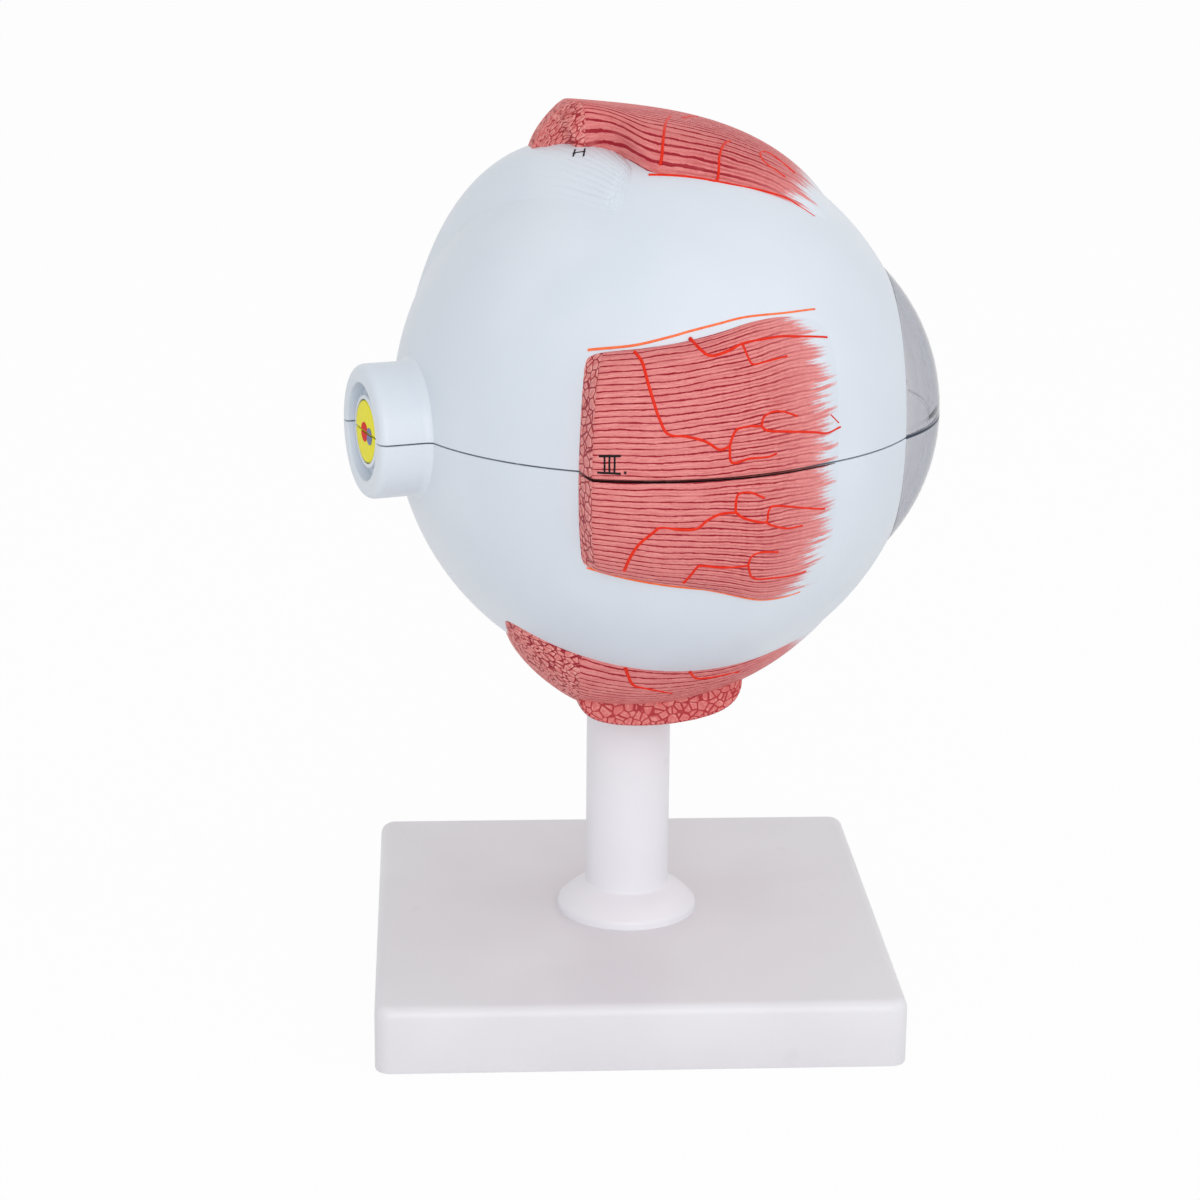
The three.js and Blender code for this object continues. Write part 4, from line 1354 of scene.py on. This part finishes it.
def surface_of(bm):
    """The height of a mesh over the ball at a place, found by a ray towards the middle."""
    tree = BVHTree.FromBMesh(bm)

    def height(angle, around):
        outside = over_ball(angle, around, RAY_START)
        hit, *_ = tree.ray_cast(outside, over_ball(angle, around, 0) - outside)
        return max(0, RAY_START - (hit - outside).length) if hit else 0

    return height


def muscles(paint_of_muscle, tendon_material):
    """Makes the muscles, and returns the surfaces that lines are painted on."""
    seats = {}

    def fibres(name, bm, half, node):
        body = "eye_" + half
        piece(name, bm, paint_of_muscle, body, RED, [node], crease=SOFT_CREASE)

    for name, seed, mirror in (("medial", 11, 1), ("lateral", 23, -1)):
        shape = medial_muscle(seed)
        for half, low, high in (("upper", AT_SEAM, 1), ("lower", -1, -AT_SEAM)):
            bm = shape.sheet(low, high)
            if mirror < 0:
                bm.transform(Matrix.Diagonal((1, -1, 1, 1)))
                bmesh.ops.recalc_face_normals(bm, faces=bm.faces)
            else:
                seats["medial_" + half] = surface_of(bm)
            fibres(f"{name}_fibres_{half}", bm, half, f"{name}_rectus_{half}")
    for name, shape, half in (
        ("superior_rectus", superior_muscle(), "upper"),
        ("inferior_rectus", inferior_muscle(), "lower"),
        ("inferior_oblique", oblique_muscle(), "lower"),
    ):
        over_stem = half == "lower"
        bm = shape.sheet(cut_by_stem=over_stem)
        if over_stem:
            bm = cut(bm, spigot_hole())
        seats[name] = surface_of(bm)
        fibres(name + "_fibres", bm, half, name)
    bm = tendon().sheet()
    seats["tendon"] = surface_of(bm)
    nodes = ["superior_oblique"]
    piece("oblique_tendon", bm, tendon_material, "eye_upper", "sclera_white", nodes,
          crease=SOFT_CREASE)
    return seats


# Painted lines

MEDIAL_UPPER_VESSELS = (
    (1, 0.8, ((102, 24), (100.5, 21.5), (99.5, 17.5), (98.5, 14), (97.5, 11), (96, 8.5), (92.5, 8),
              (89, 7), (86.5, 5.5), (84.5, 6))),
    (0.9, 0.6, ((84.5, 6), (84, 7.5), (83, 9), (80.5, 9.5), (78, 9.5), (77.5, 11), (75.5, 12),
                (73, 12), (69.5, 11))),
    (0.9, 0.6, ((78, 9.5), (76.5, 8.5), (71, 8), (65.5, 7.5), (61.5, 7), (57.5, 8))),
    (0.5, 0.4, ((60.5, 11), (58, 9))),
    (0.9, 0.6, ((84.5, 6), (84, 3), (80.5, 3.5), (76.5, 3.5), (74.5, 4))),
    (1.1, 0.7, ((91, 26.5), (89.5, 24), (87.5, 22.5), (84, 23.5), (81, 25), (77, 26), (72.5, 27),
                (68, 27.5), (60.5, 28.5))),
    (0.8, 0.6, ((81, 25), (80, 22), (79, 21), (75, 22), (71.5, 23))),
)
MEDIAL_LOWER_VESSELS = (
    (1, 0.9, ((103.5, -18.5), (102.5, -15), (101, -12), (98.5, -9.5), (97, -8.5), (93.5, -9),
              (90.5, -9), (88.5, -7.5), (86, -6.5), (83, -6.5))),
    (0.9, 0.7, ((83, -6.5), (83, -4.5), (82.5, -3), (80, -3), (77, -4.5))),
    (0.9, 0.6, ((83, -6.5), (81, -8), (76.5, -9.5), (76, -7.5), (75, -6.5), (70.5, -7.5),
                (61.5, -10.5))),
    (0.8, 0.6, ((76.5, -9.5), (75, -10.5), (71.5, -12), (67.5, -12.5))),
    (1, 0.8, ((92, -21.5), (91, -19.5), (90, -17.5), (89, -17), (84.5, -18), (79.5, -18.5))),
    (0.8, 0.6, ((79.5, -18.5), (79, -16.5), (77, -16), (73, -17))),
    (0.8, 0.6, ((79.5, -18.5), (78, -22), (73.5, -23.5), (68, -25), (65, -25.5))),
)
UPPER_BORDER = ((111.5, 25.5), (102.5, 25.6), (95.5, 26.8), (91, 27.9), (85, 29.4), (79.5, 30.9),
                (70.5, 32.6), (63, 34.7))
LOWER_BORDER = ((111.5, -22.3), (103.5, -23.3), (91.5, -24.8), (85, -26), (79, -28.5), (74, -31),
                (70, -32), (65, -32.5))
SUPERIOR_VESSELS = (
    (1.1, 0.4, ((95.5, 67.3), (89, 66.3), (80, 65), (74.5, 65), (71, 65), (65, 65), (59, 63.5))),
    (1, 0.7, ((93, 68), (92.5, 69.5), (92, 72), (90.5, 79), (89, 83.5))),
    (0.8, 0.7, ((86.5, 84), (82.5, 91))),
    (0.9, 0.7, ((84, 65.5), (81.5, 65.5), (81, 70), (79.5, 74.5), (78, 76.5))),
    (0.9, 0.6, ((63.5, 75), (69, 78.5), (71.5, 76), (71, 72.5), (66.5, 70.5))),
)
INFERIOR_VESSELS = (
    (1.1, 0.7, ((100.5, -56), (99.5, -58), (98, -60.5), (95.5, -61.5), (93, -62.5), (89.5, -64.5))),
    (1, 0.6, ((86.5, -57.5), (85, -60), (82, -61), (77.5, -62), (75, -63))),
)
RETINA_ARTERIES = (
    (1.3, 0.5, ((163.5, 8), (161, 30), (152, 62), (138, 84), (118, 92), (96, 96))),
    (0.8, 0.4, ((145, 75), (128, 66), (108, 62), (92, 63))),
    (1.3, 0.5, ((166, 12), (168, 60), (162, 120), (148, 142), (126, 148), (98, 146))),
    (0.8, 0.4, ((152, 138), (136, 124), (116, 120), (98, 122))),
    (1, 0.4, ((163, 4), (150, 16), (128, 24), (104, 28))),
)
RETINA_VEINS = (
    (1.5, 0.6, ((163.5, 14), (158, 40), (148, 66), (132, 78), (112, 82), (94, 80))),
    (1.5, 0.6, ((165.5, 20), (165, 80), (156, 126), (138, 140), (116, 136), (96, 134))),
    (0.9, 0.4, ((142, 71), (124, 54), (104, 48), (92, 46))),
    (0.9, 0.4, ((144, 137), (132, 152), (114, 160), (96, 162))),
)
RETINA_RADIUS = 0.22
NUMERAL_THREE = (
    (1.2, 1.2, ((108.4, 4.6), (106.4, 4.65), (104.5, 4.7))),
    (1.2, 1.2, ((108.7, 1.6), (106.4, 1.55), (104.5, 1.5))),
    (1, 1, ((107.4, 4.5), (107.4, 3.1), (107.4, 1.6))),
    (1, 1, ((106.5, 4.5), (106.55, 3.1), (106.5, 1.6))),
    (1, 1, ((105.6, 4.5), (105.6, 3.1), (105.65, 1.6))),
    (1.5, 1.5, ((103.9, 1.7), (103.5, 1.7))),
)
NUMERAL_ONE = (
    (1, 1, ((108.7, 80), (109.5, 77))),
    (1, 1, ((106.8, 79.5), (107.5, 76))),
    (1, 1, ((109.4, 78.5), (106.9, 78))),
)
VESSEL_RADIUS = 0.38
BORDER_RADIUS = 0.32
NUMERAL_RADIUS = 0.23
LINE_STEP = 0.5
LINE_MERGE = 0.01
LINE_SINK = 0.4


def flow(points):
    """A smooth line through (angle, around) points, in steps of about LINE_STEP."""
    points = [Vector(point) for point in points]
    points = [2 * points[0] - points[1], *points, 2 * points[-1] - points[-2]]
    line = []
    for before, start, end, after in zip(points, points[1:], points[2:], points[3:]):
        count = max(2, round((end - start).length * radians(1) * BALL_RADIUS / LINE_STEP))
        for k in range(count):
            t = k / count
            bend = (end - before) * 0.5
            bend_after = (after - start) * 0.5
            line.append(
                start * (1 + 2 * t) * (1 - t) ** 2 + bend * t * (1 - t) ** 2
                + end * t * t * (3 - 2 * t) + bend_after * t * t * (t - 1)
            )
    line.append(points[-2])
    return line


def lines(name, paths, radius, material, body, seat, mirror=1, slot=RED):
    """Painted lines as thin raised threads: each path has its width at both ends and its points."""
    curve = bpy.data.curves.new(name, "CURVE")
    curve.dimensions = "3D"
    curve.bevel_depth = radius
    curve.bevel_resolution = 2
    curve.use_fill_caps = True
    for first, last, points in paths:
        line = flow(points)
        heights = [seat(*spot) for spot in line]
        spline = curve.splines.new("POLY")
        spline.points.add(len(line) - 1)
        for k, (knot, (angle, around)) in enumerate(zip(spline.points, line)):
            share = first + (last - first) * k / (len(line) - 1)
            nearby = heights[max(0, k - 2):k + 3]
            height = max(sum(nearby) / len(nearby), heights[k]) - radius * share * LINE_SINK
            place = over_ball(angle, around, height)
            knot.co = (place.x, place.y * mirror, place.z, 1)
            knot.radius = share
    made = bpy.data.objects.new(name + "_curve", curve)
    bpy.context.scene.collection.objects.link(made)
    bpy.context.view_layer.update()
    graph = bpy.context.evaluated_depsgraph_get()
    mesh = bpy.data.meshes.new_from_object(made.evaluated_get(graph))
    bm = bmesh.new()
    bm.from_mesh(mesh)
    bmesh.ops.remove_doubles(bm, verts=bm.verts, dist=LINE_MERGE)
    bmesh.ops.recalc_face_normals(bm, faces=bm.faces)
    bpy.data.objects.remove(made)
    bpy.data.meshes.remove(mesh)
    piece(name, bm, material, body, slot, crease=SOFT_CREASE)


def painted_lines(seats, red, orange, black, blue):
    """All vessels, borders and numerals: on the muscles, on the tendon and on the retina."""
    for side, mirror in (("medial", 1), ("lateral", -1)):
        for half, vessels, border in (
            ("upper", MEDIAL_UPPER_VESSELS, UPPER_BORDER),
            ("lower", MEDIAL_LOWER_VESSELS, LOWER_BORDER),
        ):
            body, seat, edge = "eye_" + half, seats["medial_" + half], ((1, 0.7, border),)
            lines(f"{side}_vessels_{half}", vessels, VESSEL_RADIUS, red, body, seat, mirror)
            lines(f"{side}_border_{half}", edge, BORDER_RADIUS, orange, body, seat, mirror)
    for name, paths, radius, material, half, seat, slot in (
        ("superior_vessels", SUPERIOR_VESSELS, VESSEL_RADIUS, red, "upper", "superior_rectus", RED),
        ("inferior_vessels", INFERIOR_VESSELS, VESSEL_RADIUS, red, "lower", "inferior_rectus", RED),
        ("numeral_three", NUMERAL_THREE, NUMERAL_RADIUS, black, "upper", "medial_upper", RED),
        ("numeral_one", NUMERAL_ONE, NUMERAL_RADIUS, black, "upper", "tendon", "sclera_white"),
    ):
        lines(name, paths, radius, material, "eye_" + half, seats[seat], slot=slot)
    for half, side in HALVES:
        for name, paths, material in (
            ("arteries", RETINA_ARTERIES, red), ("veins", RETINA_VEINS, blue),
        ):
            turned = [
                (first, last, [(angle, around * side) for angle, around in points])
                for first, last, points in paths
            ]
            lines(f"retina_{name}_{half}", turned, RETINA_RADIUS, material, "choroid_" + half,
                  lambda angle, around: choroid_in[1] - BALL_RADIUS, slot="choroid_brown")


# Stage

CAMERA_PLACE = (-0.04635, -0.65179, 0.28292)
CAMERA_TILT = radians(-16.559)
CAMERA_ROLL = radians(-0.518)
CAMERA_YAW = radians(-3.284)
CAMERA_LENS = 90.75
CAMERA_SENSOR = 36
AMBIENT = 0.74
FLOOR_HALF = 20
FLOOR_GLOW = 0.95
FLOOR_WHITE = (0.86, 0.86, 0.86, 1)
WHITE = (1, 1, 1, 1)
LIT_PLACE = (0, 0, 0.11)


def camera():
    data = bpy.data.cameras.new("camera")
    data.lens = CAMERA_LENS
    data.sensor_width = CAMERA_SENSOR
    data.clip_start = 0.05
    data.clip_end = 50
    made = bpy.data.objects.new("camera", data)
    bpy.context.scene.collection.objects.link(made)
    yaw = Matrix.Rotation(CAMERA_YAW, 3, "Z")
    tilt = Matrix.Rotation(CAMERA_TILT, 3, "X")
    roll = Matrix.Rotation(CAMERA_ROLL, 3, "Y")
    right, ahead, up = (yaw @ tilt @ roll).col
    look = Matrix((right, up, -ahead)).transposed().to_4x4()
    made.matrix_world = Matrix.Translation(CAMERA_PLACE) @ look
    bpy.context.scene.camera = made


def seen_directly(nodes):
    """1 for what the camera sees, also in a gloss and through clear plastic, and 0 for light."""
    path = nodes.node("LightPath", {}, {}, output="Is Camera Ray")
    return path.most(path.also("Is Glossy Ray")).most(path.also("Is Transmission Ray"))


def floor():
    bm = bmesh.new()
    bmesh.ops.create_grid(bm, x_segments=1, y_segments=1, size=FLOOR_HALF)
    made = as_object(bm, "floor")
    finish = Finish("pale_floor")
    seen = seen_directly(finish)
    lit = finish.node("BsdfDiffuse", {}, {"Color": FLOOR_WHITE})
    glow = finish.node("Emission", {}, {"Color": WHITE, "Strength": 1.0})
    both = finish.node("MixShader", {}, {0: seen * FLOOR_GLOW, 1: lit, 2: glow})
    finish.node("OutputMaterial", {}, {"Surface": both})
    made.data.materials.append(finish.material)


def world():
    made = bpy.data.worlds.new("studio")
    made.use_nodes = True
    nodes = Nodes(made.node_tree)
    strength = AMBIENT + seen_directly(nodes) * (1 - AMBIENT)
    back = nodes.node("Background", {}, {"Color": WHITE, "Strength": strength})
    nodes.node("OutputWorld", {}, {"Surface": back})
    bpy.context.scene.world = made


def softbox(name, place, size, power):
    data = bpy.data.lights.new(name, "AREA")
    data.shape = "SQUARE"
    data.size = size
    data.energy = power
    made = bpy.data.objects.new(name, data)
    bpy.context.scene.collection.objects.link(made)
    made.location = place
    made.rotation_euler = (Vector(LIT_PLACE) - Vector(place)).to_track_quat("-Z", "Y").to_euler()


def studio():
    softbox("front_light", (0.0, -1.1, 0.48), size=0.9, power=4.5)
    softbox("right_light", (0.9, -0.4, 0.8), size=0.8, power=1.3)
    world()
    floor()
    camera()


def main():
    white = sclera_plastic()
    base_white = stand_plastic("base_plastic", colour(226, 225, 229), colour(221, 219, 224))
    # Painted light: the stem's white is a lighter copy of the base's, standing in for the stronger
    # light that falls on the stem.
    stem_white_painted_light = stand_plastic("stem_plastic", colour(236, 236, 241), colour(231, 230, 236))
    steel = plated_steel()
    red = paint("vessel_red", colour(230, 46, 14), colour(218, 34, 10), 0.35)
    orange = paint("border_orange", colour(252, 128, 76), colour(246, 108, 58), 0.35)
    black = paint("numeral_black", colour(14, 12, 16), colour(8, 7, 10), 0.5)
    yellow = paint("nerve_yellow", colour(243, 236, 66), colour(238, 228, 56), 0.5)
    artery = paint("artery_red", colour(222, 8, 14), colour(210, 5, 10), 0.5)
    vein = paint("vein_blue", colour(104, 118, 168), colour(92, 104, 156), 0.35)
    base_plate(base_white)
    stem(stem_white_painted_light)
    sclera_halves(white)
    rim_pins(white)
    cornea_halves(cornea_plastic())
    nerve_ends(yellow, artery, vein)
    choroid_halves(choroid_paint())
    iris_halves(iris_paint())
    inner = inner_clear()
    lens(inner)
    vitreous_body(inner)
    seats = muscles(muscle_paint(), tendon_plastic())
    painted_lines(seats, red, orange, black, vein)
    for node in ("stem_screw", "screw_washer", "eye_spigot"):
        mesh = frame["nodes"][node].data
        mesh.materials.clear()
        mesh.materials.append(steel)
    studio()


main()

bpy.context.scene.view_settings.view_transform = "Standard"
